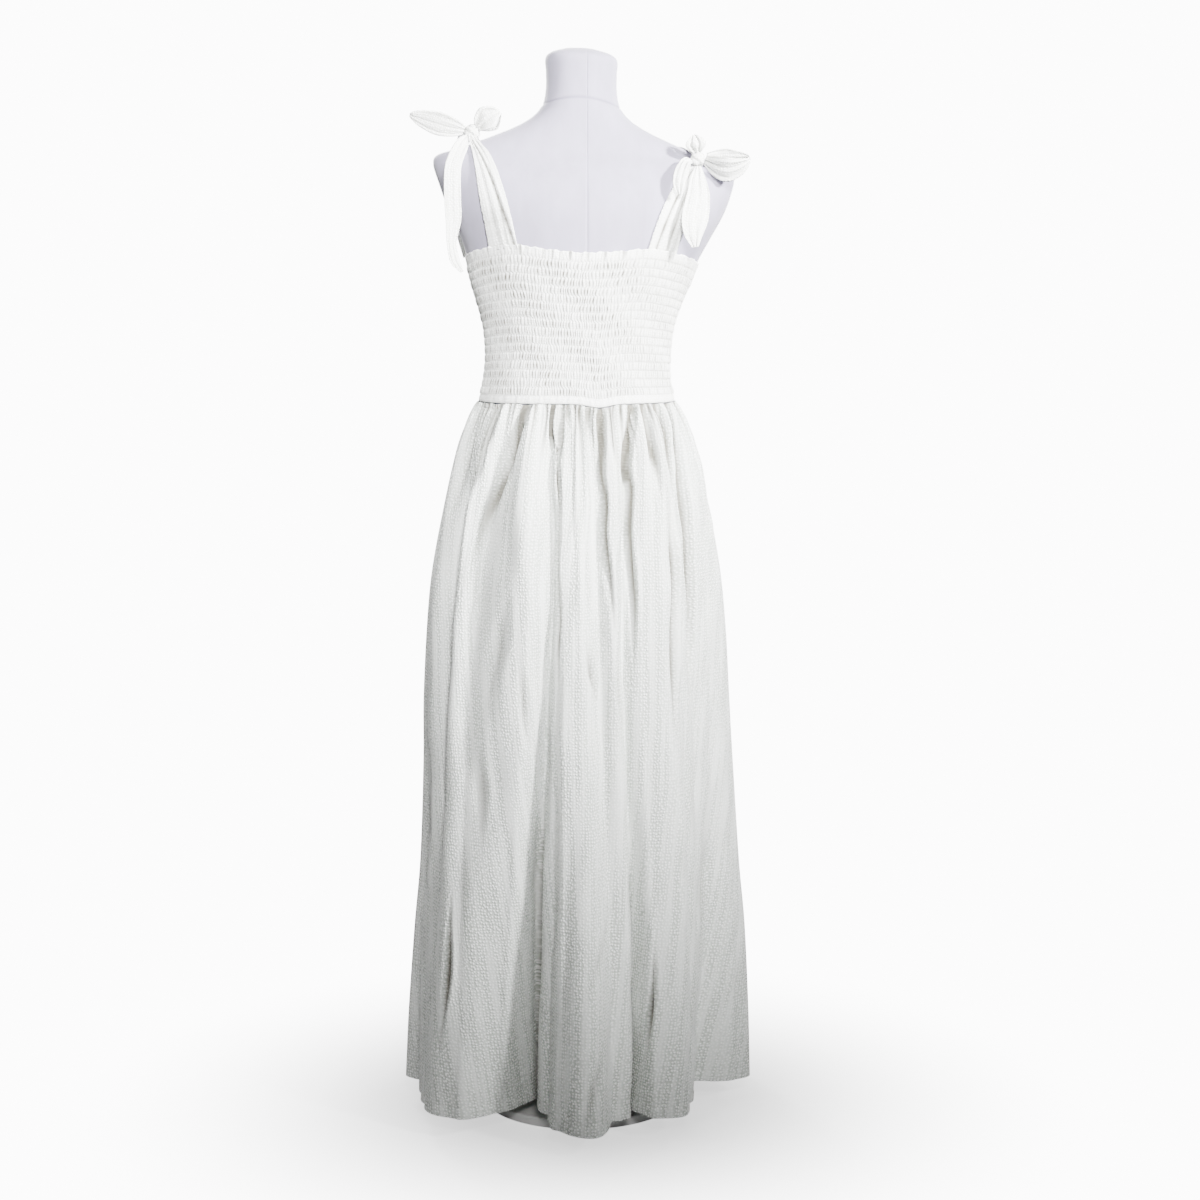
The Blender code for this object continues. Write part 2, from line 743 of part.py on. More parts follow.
def sheet_normal(rows, row, column):
    """Return the outward normal of a sheet of points whose rows run down and columns run round."""
    above = rows[max(row - 1, 0)][column]
    below = rows[min(row + 1, len(rows) - 1)][column]
    left = rows[row][max(column - 1, 0)]
    right = rows[row][min(column + 1, len(rows[row]) - 1)]
    normal = (below - above).cross(right - left)
    if column in (0, len(rows[row]) - 1):
        normal.y = 0.0
    if row in (0, len(rows) - 1):
        normal.z = 0.0
    return normal.normalized()


def build_skirt(half, folds, material):
    """Make half of the gathered skirt as a folded wall."""
    total = sum(fold.gathers for fold in folds)
    count = total * COLUMNS_PER_GATHER
    places = [total * column / count for column in range(count + 1)]
    outer = []
    for height in SKIRT_ROWS:
        outer.append([skirt_point(half, folds, place, height) for place in places])
    inner = []
    for row, points in enumerate(outer):
        line = []
        for column, point in enumerate(points):
            line.append(point - sheet_normal(outer, row, column) * SKIRT_WALL)
        inner.append(line)
    build_wall(f"skirt_{half}", outer, inner, material)


def ridge_height(x):
    """Return the height of the shoulder's ridge at a place across the form."""
    low = max(TORSO, key=lambda section: section.half_width).height
    high = TORSO[-1].height
    for _ in range(RIDGE_HALVINGS):
        middle = (low + high) / 2
        section = smooth_row(TORSO, middle)
        if section.half_width > abs(x - section.shift_x):
            low = middle
        else:
            high = middle
    return low


def shoulder_point(x, climb, half, base_height):
    """Return a point up a shoulder: climb is 0 at the bodice, 1 on the ridge and more on its far side."""
    if climb > 1:
        other_half = "front" if half == "back" else "back"
        return shoulder_point(x, 2 - climb, other_half, base_height)
    ridge = ridge_height(x)
    height = base_height + (ridge - base_height) * math.sin(climb * math.pi / 2)
    section = smooth_row(TORSO, height)
    across = min(abs(x - section.shift_x) / section.half_width, 1.0)
    depth = section.half_depth * (1 - across**TORSO_SQUARENESS) ** (1 / TORSO_SQUARENESS)
    y = section.shift_y - depth if half == "back" else section.shift_y + depth
    return Vector((x, y, height))


def build_ribbon(name, centres, sides, half_widths, fold_height, material):
    """Make a strip of cloth along a line of centres, with soft folds along its length."""
    outer = []
    inner = []
    for i, centre in enumerate(centres):
        ahead = centres[min(i + 1, len(centres) - 1)]
        behind = centres[max(i - 1, 0)]
        tangent = (ahead - behind).normalized()
        side = (sides[i] - tangent * sides[i].dot(tangent)).normalized()
        normal = side.cross(tangent)
        upper = []
        lower = []
        for column in range(RIBBON_COLUMNS):
            share = 2 * column / (RIBBON_COLUMNS - 1) - 1
            fold = fold_height if column % 2 else -fold_height
            point = centre + side * (share * half_widths[i]) + normal * fold
            upper.append(point + normal * (RIBBON_WALL / 2))
            lower.append(point - normal * (RIBBON_WALL / 2))
        outer.append(upper)
        inner.append(lower)
    build_wall(name, outer, inner, material)


def spread(stops, count):
    """Return a count of rows on a smooth curve through some stops, evenly spaced by stop."""
    places = list(range(len(stops)))
    rows = []
    for i in range(count):
        place = places[-1] * i / (count - 1)
        rows.append([smooth_value(places, column, place) for column in zip(*stops)])
    return rows


def knot_surface(side, direction, beside=0.0):
    """Return the point just off a knot's surface in a direction, or beside that line, and the direction."""
    knot = KNOTS[side]
    unit = Vector(direction).normalized()
    reach = math.sqrt(knot.radius**2 - beside**2) + KNOT_EASE
    return knot.centre + unit * reach, unit


def strap_sheet_point(strap, x, share):
    """Return a point on the form under a strap, and the way out of the form there."""
    base_height = strap_base_height(x, strap.half)
    climb = share * strap.climb
    here = shoulder_point(x, climb, strap.half, base_height)
    above = shoulder_point(x, climb + CLIMB_STEP, strap.half, base_height)
    beside = shoulder_point(x + SIDE_STEP, climb, strap.half, base_height)
    normal = (above - here).cross(beside - here).normalized()
    if strap.half == "back":
        normal = -normal
    return lean(here), normal


def build_strap(strap, material):
    """Make a tie strap that lies up the form's shoulder and narrows into its knot."""
    arrive, direction = knot_surface(strap.side, strap.arrival)
    end_side = Vector((1.0, 0.0, 0.0))
    end_side = (end_side - direction * end_side.dot(direction)).normalized()
    widths = (strap.base_half_width, strap.low_half_width, strap.high_half_width, STRAP_END_HALF_WIDTH)
    outer = []
    inner = []
    for station in range(STRAP_STATIONS):
        share = station / (STRAP_STATIONS - 1)
        middle_x = strap.base_x + (strap.top_x - strap.base_x) * share
        half_width = smooth_value(STRAP_WIDTH_PLACES, widths, share)
        lift = max(0.0, (share - STRAP_LIFT_START) / (1 - STRAP_LIFT_START)) ** 2
        upper = []
        lower = []
        for column in range(STRAP_COLUMNS):
            across = 2 * column / (STRAP_COLUMNS - 1) - 1
            under, normal = strap_sheet_point(strap, middle_x + across * half_width, share)
            if station == 0:
                normal.z = 0.0
            normal = normal - direction * (normal.dot(direction) * lift)
            normal.normalize()
            fold = STRAP_FOLD if column % 2 else 0.0
            goal = arrive + end_side * (across * half_width)
            low_point = (under + normal * (STRAP_EASE + fold)).lerp(goal, lift)
            lower.append(low_point)
            upper.append(low_point + normal * RIBBON_WALL)
        outer.append(upper)
        inner.append(lower)
    build_wall(f"strap_{strap.half}_{strap.side}", outer, inner, material)


def strap_base_height(x, half):
    """Return the height just above the bodice's top edge at a place across the body."""
    height = top_edge_height(math.radians(TOP_PEAK_DEG))
    section = smooth_row(TORSO, height)
    across = abs(x - section.shift_x)
    inside = 1 - (across / section.half_width) ** TORSO_SQUARENESS
    depth = section.half_depth * inside ** (1 / TORSO_SQUARENESS)
    position = math.atan2(across, depth) / side_seam_angle(half, height, BODICE_EASE)
    return top_edge_height(position * math.pi / 2) + 2 * SEAM_GAP


def build_loop(loop, material):
    """Make a bow's loop: a band that leaves the knot, turns round and comes back."""
    root, out = knot_surface(loop.side, loop.out, LOOP_PROFILE[0].gap * loop.half_gap)
    opens = Vector(loop.opens)
    opens = (opens - out * opens.dot(out)).normalized()
    side = out.cross(opens)
    centres = []
    half_widths = []
    for length, gap, width in spread(LOOP_PROFILE, LOOP_STATIONS):
        sag = Vector((0.0, 0.0, -loop.droop * length * length))
        centres.append(root + out * (length * loop.length) + opens * (gap * loop.half_gap) + sag)
        half_widths.append(width * loop.half_width)
    name = f"bow_{loop.side}_loop_{loop.place}"
    build_ribbon(name, centres, [side] * len(centres), half_widths, LOOP_FOLD, material)


def build_end(end, material):
    """Make a hanging end of a tie."""
    root, _ = knot_surface(end.side, end.leaves)
    stops = [(*root, RIBBON_ROOT_HALF_WIDTH)] + [tuple(stop) for stop in end.stops]
    rows = spread(stops, 2 * len(stops))
    centres = [Vector(row[:3]) for row in rows]
    half_widths = [row[3] for row in rows]
    sides = []
    for i in range(len(centres)):
        tangent = centres[min(i + 1, len(centres) - 1)] - centres[max(i - 1, 0)]
        sides.append(tangent.cross(Vector(end.faces)))
    build_ribbon(f"bow_{end.side}_end_{end.place}", centres, sides, half_widths, RIBBON_FOLD, material)


def build_knot(side, material):
    """Make a knot: a round lump with shallow wraps turned into it."""
    knot = KNOTS[side]
    builder = bmesh.new()
    bmesh.ops.create_uvsphere(builder, u_segments=KNOT_SEGMENTS, v_segments=KNOT_RINGS, radius=1.0)
    for vertex in builder.verts:
        way = vertex.co.normalized()
        wrap = 0.5 + 0.5 * math.cos(KNOT_WRAPS * math.atan2(way.y, way.x) + KNOT_SLANT * way.z)
        vertex.co = knot.centre + way * knot.radius * (1 - KNOT_WRAP_DEPTH * wrap)
    add_object(f"bow_{side}_knot", builder, material)


def main():
    """Build the sundress and its form."""
    clear_scene()
    cotton = make_material("white_cotton", WHITE_COTTON, 0.85)
    jersey = make_material("lilac_jersey", LILAC_JERSEY, 0.80)
    paint = make_material("white_paint", WHITE_PAINT, 0.45)
    build_torso(jersey)
    build_stand(paint)
    build_bodice("back", cotton)
    build_bodice("front", cotton)
    build_skirt("back", BACK_FOLDS, cotton)
    build_skirt("front", FRONT_FOLDS, cotton)
    for side in KNOTS:
        build_knot(side, cotton)
    for strap in STRAPS:
        build_strap(strap, cotton)
    for loop in LOOPS:
        build_loop(loop, cotton)
    for end in TIE_ENDS:
        build_end(end, cotton)


if __name__ == "__main__":
    main()
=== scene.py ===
"""A long white sundress on a limbless dress form, seen from behind.

The dress has a shirred bodice, ties that meet in a bow on each shoulder, and a gathered skirt of
crinkled cotton. Metres, +Z up. The back of the dress faces -Y, and +X is on the right of someone who
looks at the back. Angles round the body run from the middle of the back towards +X, or on the front
half from the middle of the front towards -X. Table columns that end in _mm or _deg hold millimetres
or degrees, and all other lengths are metres.
"""

from __future__ import annotations

import logging
import math
from collections.abc import Sequence
from dataclasses import dataclass
from enum import Enum
from typing import Any, NamedTuple

import bpy
import numpy as np
from mathutils import Euler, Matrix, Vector

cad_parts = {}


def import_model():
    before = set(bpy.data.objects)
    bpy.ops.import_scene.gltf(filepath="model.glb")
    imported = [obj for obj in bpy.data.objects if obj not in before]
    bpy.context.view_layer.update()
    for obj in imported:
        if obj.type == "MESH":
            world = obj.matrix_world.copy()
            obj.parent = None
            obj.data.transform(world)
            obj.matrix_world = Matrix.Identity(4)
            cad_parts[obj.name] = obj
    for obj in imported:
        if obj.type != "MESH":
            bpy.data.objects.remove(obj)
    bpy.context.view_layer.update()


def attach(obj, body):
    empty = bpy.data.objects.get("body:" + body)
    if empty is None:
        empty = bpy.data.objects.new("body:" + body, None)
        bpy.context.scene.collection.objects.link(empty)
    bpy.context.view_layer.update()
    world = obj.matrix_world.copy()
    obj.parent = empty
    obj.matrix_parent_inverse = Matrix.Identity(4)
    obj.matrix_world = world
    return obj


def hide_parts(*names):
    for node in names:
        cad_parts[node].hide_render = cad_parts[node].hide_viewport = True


LOG = logging.getLogger("sundress")
BODY = "root"
Triple = tuple[float, float, float]

MM = 0.001
# The attribute of painted shade: how far a point lies in a sharp crease or a seam, which darkens its colour
PAINTED_SHADE_ATTRIBUTE = "crease"
# The gap between the two halves at a side seam, and at either end of the pole
SEAM_GAP = 0.0003
# The side seams lie in the plane at this place from back to front
SIDE_SEAM_Y = 0.002
# How far the seam allowances turn inwards at the waist
ALLOWANCE_TURN = 0.0002
# What a place that is counted in whole rows may be off by rounding
ROUNDING = 1e-6


class Half(Enum):
    """The two halves of the dress, which meet at the side seams."""

    BACK = "back"
    FRONT = "front"

    @property
    def turn(self) -> float:
        """Angle that turns this half's own angles into angles round the body."""
        return 0.0 if self is Half.BACK else math.pi

    @property
    def outward(self) -> float:
        """Way out along Y at the middle of this half."""
        return -1.0 if self is Half.BACK else 1.0


class Side(Enum):
    """The two shoulders, as seen from behind."""

    LEFT = "left"
    RIGHT = "right"


class Slot(Enum):
    """The record's material slots."""

    COTTON = "cotton"
    JERSEY = "jersey"
    PAINT = "paint"


def linear_colour(code: str) -> tuple[float, float, float, float]:
    """Turn an sRGB hex code into a linear colour.

    Args:
        code: The colour as #rrggbb.

    Returns:
        The linear red, green, blue and alpha.
    """
    shares = [int(code[i : i + 2], 16) / 255 for i in (1, 3, 5)]
    red, green, blue = [((s + 0.055) / 1.055) ** 2.4 if s > 0.04045 else s / 12.92 for s in shares]
    return red, green, blue, 1.0


def smooth_curve(places: Sequence[float], values: Sequence[float], at: np.ndarray) -> np.ndarray:
    """Read a smooth curve through some points.

    Args:
        places: Rising places of the points.
        values: The value at each place.
        at: Places to read, held to the curve's range.

    Returns:
        The value at each place that was asked for.
    """
    x = np.asarray(places, dtype=float)
    y = np.asarray(values, dtype=float)
    slope = np.gradient(y)
    slope[1:-1] = (y[2:] - y[:-2]) / (x[2:] - x[:-2])
    slope[0] = (y[1] - y[0]) / (x[1] - x[0])
    slope[-1] = (y[-1] - y[-2]) / (x[-1] - x[-2])
    place = np.clip(np.asarray(at, dtype=float), x[0], x[-1])
    low = np.clip(np.searchsorted(x, place, side="right") - 1, 0, len(x) - 2)
    step = x[low + 1] - x[low]
    share = (place - x[low]) / step
    square = share**2
    cube = share**3
    return (
        y[low] * (2 * cube - 3 * square + 1)
        + slope[low] * step * (cube - 2 * square + share)
        + y[low + 1] * (3 * square - 2 * cube)
        + slope[low + 1] * step * (cube - square)
    )


def rows_at(table: Sequence[Any], heights: np.ndarray) -> Any:
    """Read a table of rows by height at any heights.

    Args:
        table: Rows of one kind, whose first column is the height, rising.
        heights: Heights to read.

    Returns:
        One row of that kind, with an array in each column.
    """
    places = [row.height for row in table]
    return type(table[0])(*(smooth_curve(places, column, heights) for column in zip(*table)))


def normalised(vectors: np.ndarray) -> np.ndarray:
    """Scale vectors to length 1."""
    return vectors / np.maximum(np.linalg.norm(vectors, axis=-1, keepdims=True), 1e-9)


def smooth_step(low: float, high: float, at: np.ndarray) -> np.ndarray:
    """Rise smoothly from 0 at low to 1 at high."""
    share = np.clip((at - low) / (high - low), 0.0, 1.0)
    return share * share * (3 - 2 * share)


def uneven(index: np.ndarray, seed: float) -> np.ndarray:
    """Fixed uneven numbers from -1 to 1 for whole numbers."""
    return np.sin(index * 2.399 + seed) * np.cos(index * 1.117 + seed * 2.3)


def grid_normals(points: np.ndarray) -> np.ndarray:
    """Outward normals of a grid of points whose rows run down and columns run right, seen from outside."""
    return normalised(np.cross(np.gradient(points, axis=0), np.gradient(points, axis=1)))


def along_rows(points: np.ndarray) -> np.ndarray:
    """Distance of each grid point from its row's start, along the row."""
    steps = np.linalg.norm(np.diff(points, axis=1), axis=2)
    return np.concatenate([np.zeros((len(points), 1)), np.cumsum(steps, axis=1)], axis=1)


def deselect_all() -> None:
    """Leave nothing selected, the CAD nodes included."""
    if bpy.context.object and bpy.context.object.mode != "OBJECT":
        bpy.ops.object.mode_set(mode="OBJECT")
    bpy.ops.object.select_all(action="DESELECT")


def apply_modifier(piece: bpy.types.Object, kind: str, **settings: Any) -> None:
    """Add a modifier to a piece, set it and apply it.

    Args:
        piece: The piece.
        kind: The modifier's type.
        settings: Its settings by name.
    """
    deselect_all()
    piece.select_set(True)
    bpy.context.view_layer.objects.active = piece
    modifier = piece.modifiers.new(kind.lower(), kind)
    for name, value in settings.items():
        setattr(modifier, name, value)
    bpy.ops.object.modifier_apply(modifier=modifier.name)


def lay_sheet(
    name: str, points: np.ndarray, uv: np.ndarray, crease: np.ndarray | None = None
) -> bpy.types.Object:
    """Add a grid and lay it on rows of points.

    Args:
        name: The piece's name.
        points: Rows of points that run down, with columns that run right, seen from outside.
        uv: The place of each point on the flat cloth.
        crease: How much painted shade each point has for lying in a sharp crease, from 0 to 1.

    Returns:
        The sheet, shaded smooth.
    """
    rows, columns = points.shape[:2]
    deselect_all()
    bpy.ops.mesh.primitive_grid_add(x_subdivisions=columns - 1, y_subdivisions=rows - 1, size=1.0)
    sheet = bpy.context.object
    sheet.name = name
    sheet.data.name = name
    # The grid's vertices run from its bottom row up
    sheet.data.vertices.foreach_set("co", points[::-1].astype(np.float32).ravel())
    corners = np.empty(len(sheet.data.loops), dtype=np.int32)
    sheet.data.loops.foreach_get("vertex_index", corners)
    flat = uv[::-1].reshape(-1, 2)[corners]
    sheet.data.uv_layers.active.data.foreach_set("uv", flat.astype(np.float32).ravel())
    if crease is not None:
        attribute = sheet.data.attributes.new(PAINTED_SHADE_ATTRIBUTE, "FLOAT", "POINT")
        attribute.data.foreach_set("value", np.clip(crease[::-1], 0.0, 1.0).astype(np.float32).ravel())
    sheet.data.update()
    bpy.ops.object.shade_smooth()
    return sheet


def hand_over(piece: bpy.types.Object, slot: Slot, *nodes: str) -> None:
    """Fix a piece to the body in the place of CAD nodes.

    Args:
        piece: The finished piece.
        slot: The record's material slot; not used.
        nodes: The CAD nodes that it stands for.
    """
    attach(piece, BODY)
    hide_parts(*nodes)
    LOG.info("%s: %d faces, in place of %s", piece.name, len(piece.data.polygons), ", ".join(nodes))


def set_inputs(tree: bpy.types.NodeTree, node: bpy.types.Node, inputs: dict[str | int, Any]) -> None:
    """Set a node's inputs.

    Args:
        tree: The node tree.
        node: The node.
        inputs: By name or number, each input's value or the output that it reads.
    """
    for socket, value in inputs.items():
        if isinstance(value, bpy.types.NodeSocket):
            tree.links.new(value, node.inputs[socket])
        else:
            node.inputs[socket].default_value = value


def add_node(
    tree: bpy.types.NodeTree,
    kind: str,
    settings: dict[str, Any] | None = None,
    inputs: dict[str | int, Any] | None = None,
) -> bpy.types.Node:
    """Add a node with its settings and links.

    Args:
        tree: The node tree.
        kind: The node's type.
        settings: Values of the node's own properties.
        inputs: By name or number, each input's value or the output that it reads.

    Returns:
        The new node.
    """
    node = tree.nodes.new(kind)
    for name, value in (settings or {}).items():
        setattr(node, name, value)
    set_inputs(tree, node, inputs or {})
    return node


def cells_per_metre(*sizes_mm: float) -> tuple[float, ...]:
    """Find the scale that counts lengths in cells of some sizes."""
    return tuple(1 / (size * MM) for size in sizes_mm)


def set_ramp(ramp: bpy.types.Node, *stops: tuple[float, str]) -> None:
    """Set the stops of a colour ramp.

    Args:
        ramp: The ramp's node.
        stops: Each stop's place, and its colour as #rrggbb.
    """
    for element, (place, code) in zip(ramp.color_ramp.elements, stops):
        element.position = place
        element.color = linear_colour(code)


def raise_grains(
    tree: bpy.types.NodeTree, grain_mm: float, detail: float, depth_mm: float
) -> bpy.types.NodeSocket:
    """Raise fine even grains on a piece, placed by its Object coordinates.

    Args:
        tree: The node tree.
        grain_mm: The grains' size.
        detail: How many finer layers the noise has.
        depth_mm: How far they stand out.

    Returns:
        The bumped normal.
    """
    place = add_node(tree, "ShaderNodeTexCoord").outputs["Object"]
    grains = add_node(
        tree,
        "ShaderNodeTexNoise",
        inputs={"Vector": place, "Scale": cells_per_metre(grain_mm)[0], "Detail": detail},
    ).outputs["Fac"]
    bump = {"Height": grains, "Strength": 1.0, "Distance": depth_mm * MM}
    return add_node(tree, "ShaderNodeBump", inputs=bump).outputs["Normal"]


def paint_shade_in_creases(
    tree: bpy.types.NodeTree, colour: bpy.types.NodeSocket, crease: str, share: float
) -> bpy.types.NodeSocket:
    """Mix another colour into a cloth where it lies in a sharp crease.

    Args:
        tree: The node tree.
        colour: The cloth's colour.
        crease: The colour of the painted shade in a crease, as #rrggbb.
        share: How much of it there is in the deepest crease.

    Returns:
        The mixed colour.
    """
    # Painted shade: the attribute mixes a darker colour in where the cloth lies in a sharp crease or a seam
    painted_shade = add_node(tree, "ShaderNodeAttribute", {"attribute_name": PAINTED_SHADE_ATTRIBUTE}).outputs["Fac"]
    factor = add_node(tree, "ShaderNodeMath", {"operation": "MULTIPLY"}, {0: painted_shade, 1: share}).outputs[0]
    # Inputs 0, 6 and 7 of a colour mix are its factor and its two colours
    inputs = {0: factor, 6: colour, 7: linear_colour(crease)}
    return add_node(tree, "ShaderNodeMix", {"data_type": "RGBA"}, inputs).outputs[2]


def new_material(name: str) -> tuple[bpy.types.Material, bpy.types.NodeTree, bpy.types.Node]:
    """Make a material with a Principled shader.

    Args:
        name: The material's name.

    Returns:
        The material, its node tree and the shader.
    """
    material = bpy.data.materials.new(name)
    material.use_nodes = True
    tree = material.node_tree
    return material, tree, tree.nodes["Principled BSDF"]


@dataclass(frozen=True)
class CrinkledCotton:
    """White cotton, woven plain and crinkled into small rounded grains.

    The grains stand in loose columns down the cloth, with painted shade on the ground between them. Some
    columns are nearly flat. Painted shade also darkens the cloth in sharp creases. The pattern reads the flat
    cloth's own map, so it bends and gathers with the cloth.
    """

    name: str = "white_crinkled_cotton"
    crown: str = "#fdfefc"
    # Painted shade on the ground between the grains
    hollow_shade: str = "#b9bfb7"
    # Painted shade: the colour mixed into the cloth where it lies in a sharp crease, and how much of it the
    # deepest crease takes
    crease: str = "#636056"
    crease_share: float = 0.95
    grain_width_mm: float = 4.6
    grain_height_mm: float = 4.0
    grain_depth_mm: float = 1.15
    grain_scatter: float = 0.55
    # A grain falls from its crown to the ground between grains within this share of a cell
    grain_reach: float = 0.52
    crown_level: float = 0.65
    ground_level: float = -0.35
    # How far the grains of the flattest and of the fullest columns stand out
    flattest: float = 0.25
    fullest: float = 1.0
    # The values of the columns' noise at which they are flattest and fullest
    column_noise: tuple[float, float] = (0.35, 0.6)
    column_width_mm: float = 11.0
    column_length_mm: float = 160.0
    # The real threads are 0.3 mm apart, and are drawn coarser so that they show
    thread_mm: float = 0.9
    thread_depth_mm: float = 0.05
    # The levels at which the cloth has the colour of its painted shade and its crown's colour
    tint_levels: tuple[float, float] = (0.05, 0.8)
    roughness: float = 0.9
    sheen: float = 0.12
    sheen_roughness: float = 0.5
    specular: float = 0.2

    def make(self) -> bpy.types.Material:
        """Make the material.

        Returns:
            The cotton.
        """
        material, tree, shader = new_material(self.name)
        uv = add_node(tree, "ShaderNodeUVMap").outputs["UV"]
        # The cloth's own map, counted in grains, in columns of grains and in threads
        cells = (
            (self.grain_width_mm, self.grain_height_mm),
            (self.column_width_mm, self.column_length_mm),
            (self.thread_mm, self.thread_mm),
        )
        grain_map, column_map, thread_map = (
            add_node(
                tree, "ShaderNodeMapping", inputs={"Vector": uv, "Scale": (*cells_per_metre(*cell), 1.0)}
            ).outputs[0]
            for cell in cells
        )
        distance = add_node(
            tree,
            "ShaderNodeTexVoronoi",
            {"voronoi_dimensions": "2D"},
            {"Vector": grain_map, "Scale": 1.0, "Randomness": self.grain_scatter},
        ).outputs["Distance"]
        grain = add_node(
            tree,
            "ShaderNodeMapRange",
            {"interpolation_type": "SMOOTHSTEP"},
            {
                "Value": distance,
                "From Min": 0.0,
                "From Max": self.grain_reach,
                "To Min": self.crown_level,
                "To Max": self.ground_level,
            },
        ).outputs["Result"]
        columns, threads = (
            add_node(
                tree,
                "ShaderNodeTexNoise",
                {"noise_dimensions": "2D"},
                {"Vector": cell_map, "Scale": 1.0, "Detail": detail},
            ).outputs["Fac"]
            for cell_map, detail in ((column_map, 1.5), (thread_map, 1.0))
        )
        size = add_node(
            tree,
            "ShaderNodeMapRange",
            inputs={
                "Value": columns,
                "From Min": self.column_noise[0],
                "From Max": self.column_noise[1],
                "To Min": self.flattest,
                "To Max": self.fullest,
            },
        ).outputs["Result"]
        scaled = {"operation": "MULTIPLY_ADD"}
        pucker = add_node(tree, "ShaderNodeMath", scaled, {0: grain, 1: size, 2: 0.5}).outputs[0]
        weave = add_node(
            tree, "ShaderNodeMath", {"operation": "MULTIPLY"}, {0: threads, 1: self.thread_depth_mm * MM}
        ).outputs[0]
        relief = add_node(
            tree, "ShaderNodeMath", scaled, {0: pucker, 1: self.grain_depth_mm * MM, 2: weave}
        ).outputs[0]
        bump = add_node(
            tree, "ShaderNodeBump", inputs={"Height": relief, "Strength": 1.0, "Distance": 1.0}
        )
        # Painted shade: the cloth is darker where its relief is lower, between the grains
        tint = add_node(tree, "ShaderNodeValToRGB", inputs={"Fac": pucker})
        set_ramp(tint, (self.tint_levels[0], self.hollow_shade), (self.tint_levels[1], self.crown))
        # Painted shade in the sharp creases
        cloth = paint_shade_in_creases(tree, tint.outputs["Color"], self.crease, self.crease_share)
        inputs = {
            "Base Color": cloth,
            "Normal": bump.outputs["Normal"],
            "Roughness": self.roughness,
            "Sheen Weight": self.sheen,
            "Sheen Roughness": self.sheen_roughness,
            "Specular IOR Level": self.specular,
        }
        set_inputs(tree, shader, inputs)
        return material


@dataclass(frozen=True)
class StretchJersey:
    """Fine polyester jersey, knitted and stretched over the form.

    It is matt and a pale lilac grey, faintly mottled, with painted shade along its seams.
    """

    name: str = "lilac_grey_jersey"
    light: str = "#9d99ac"
    dark: str = "#928e9f"
    tint_levels: tuple[float, float] = (0.3, 0.7)
    # The real courses are 0.5 mm apart, and are drawn coarser so that they show
    course_mm: float = 1.1
    course_depth_mm: float = 0.04
    mottle_mm: float = 22.0
    mottle_roughness: float = 0.65
    # The mottles are longer up the form than across it
    mottle_slimness: float = 0.3
    # The colour of the painted shade along the seams
    seam: str = "#716c80"
    roughness: float = 0.82
    sheen: float = 0.2
    specular: float = 0.25

    def make(self) -> bpy.types.Material:
        """Make the material.

        Returns:
            The jersey.
        """
        material, tree, shader = new_material(self.name)
        place = add_node(tree, "ShaderNodeTexCoord").outputs["Object"]
        scale = cells_per_metre(self.mottle_mm, self.mottle_mm, self.mottle_mm / self.mottle_slimness)
        mottle_map = add_node(tree, "ShaderNodeMapping", inputs={"Vector": place, "Scale": scale})
        mottle = add_node(
            tree,
            "ShaderNodeTexNoise",
            inputs={
                "Vector": mottle_map.outputs[0],
                "Scale": 1.0,
                "Detail": 4.0,
                "Roughness": self.mottle_roughness,
            },
        ).outputs["Fac"]
        tint = add_node(tree, "ShaderNodeValToRGB", inputs={"Fac": mottle})
        set_ramp(tint, (self.tint_levels[0], self.dark), (self.tint_levels[1], self.light))
        inputs = {
            "Base Color": paint_shade_in_creases(tree, tint.outputs["Color"], self.seam, 1.0),
            "Normal": raise_grains(tree, self.course_mm, 1.0, self.course_depth_mm),
            "Roughness": self.roughness,
            "Sheen Weight": self.sheen,
            "Specular IOR Level": self.specular,
        }
        set_inputs(tree, shader, inputs)
        return material


@dataclass(frozen=True)
class PowderCoat:
    """White polyester powder coat, sprayed and baked on steel: satin, with a fine orange peel."""

    name: str = "white_powder_coat"
    colour: str = "#f1f1ef"
    peel_mm: float = 2.0
    peel_depth_mm: float = 0.02
    roughness: float = 0.42

    def make(self) -> bpy.types.Material:
        """Make the material.

        Returns:
            The coat.
        """
        material, tree, shader = new_material(self.name)
        inputs = {
            "Base Color": linear_colour(self.colour),
            "Normal": raise_grains(tree, self.peel_mm, 2.0, self.peel_depth_mm),
            "Roughness": self.roughness,
        }
        set_inputs(tree, shader, inputs)
        return material


class Section(NamedTuple):
    """The torso's cross-section at a height."""

    height: float
    half_width: float
    half_depth: float
    shift_x: float
    shift_y: float


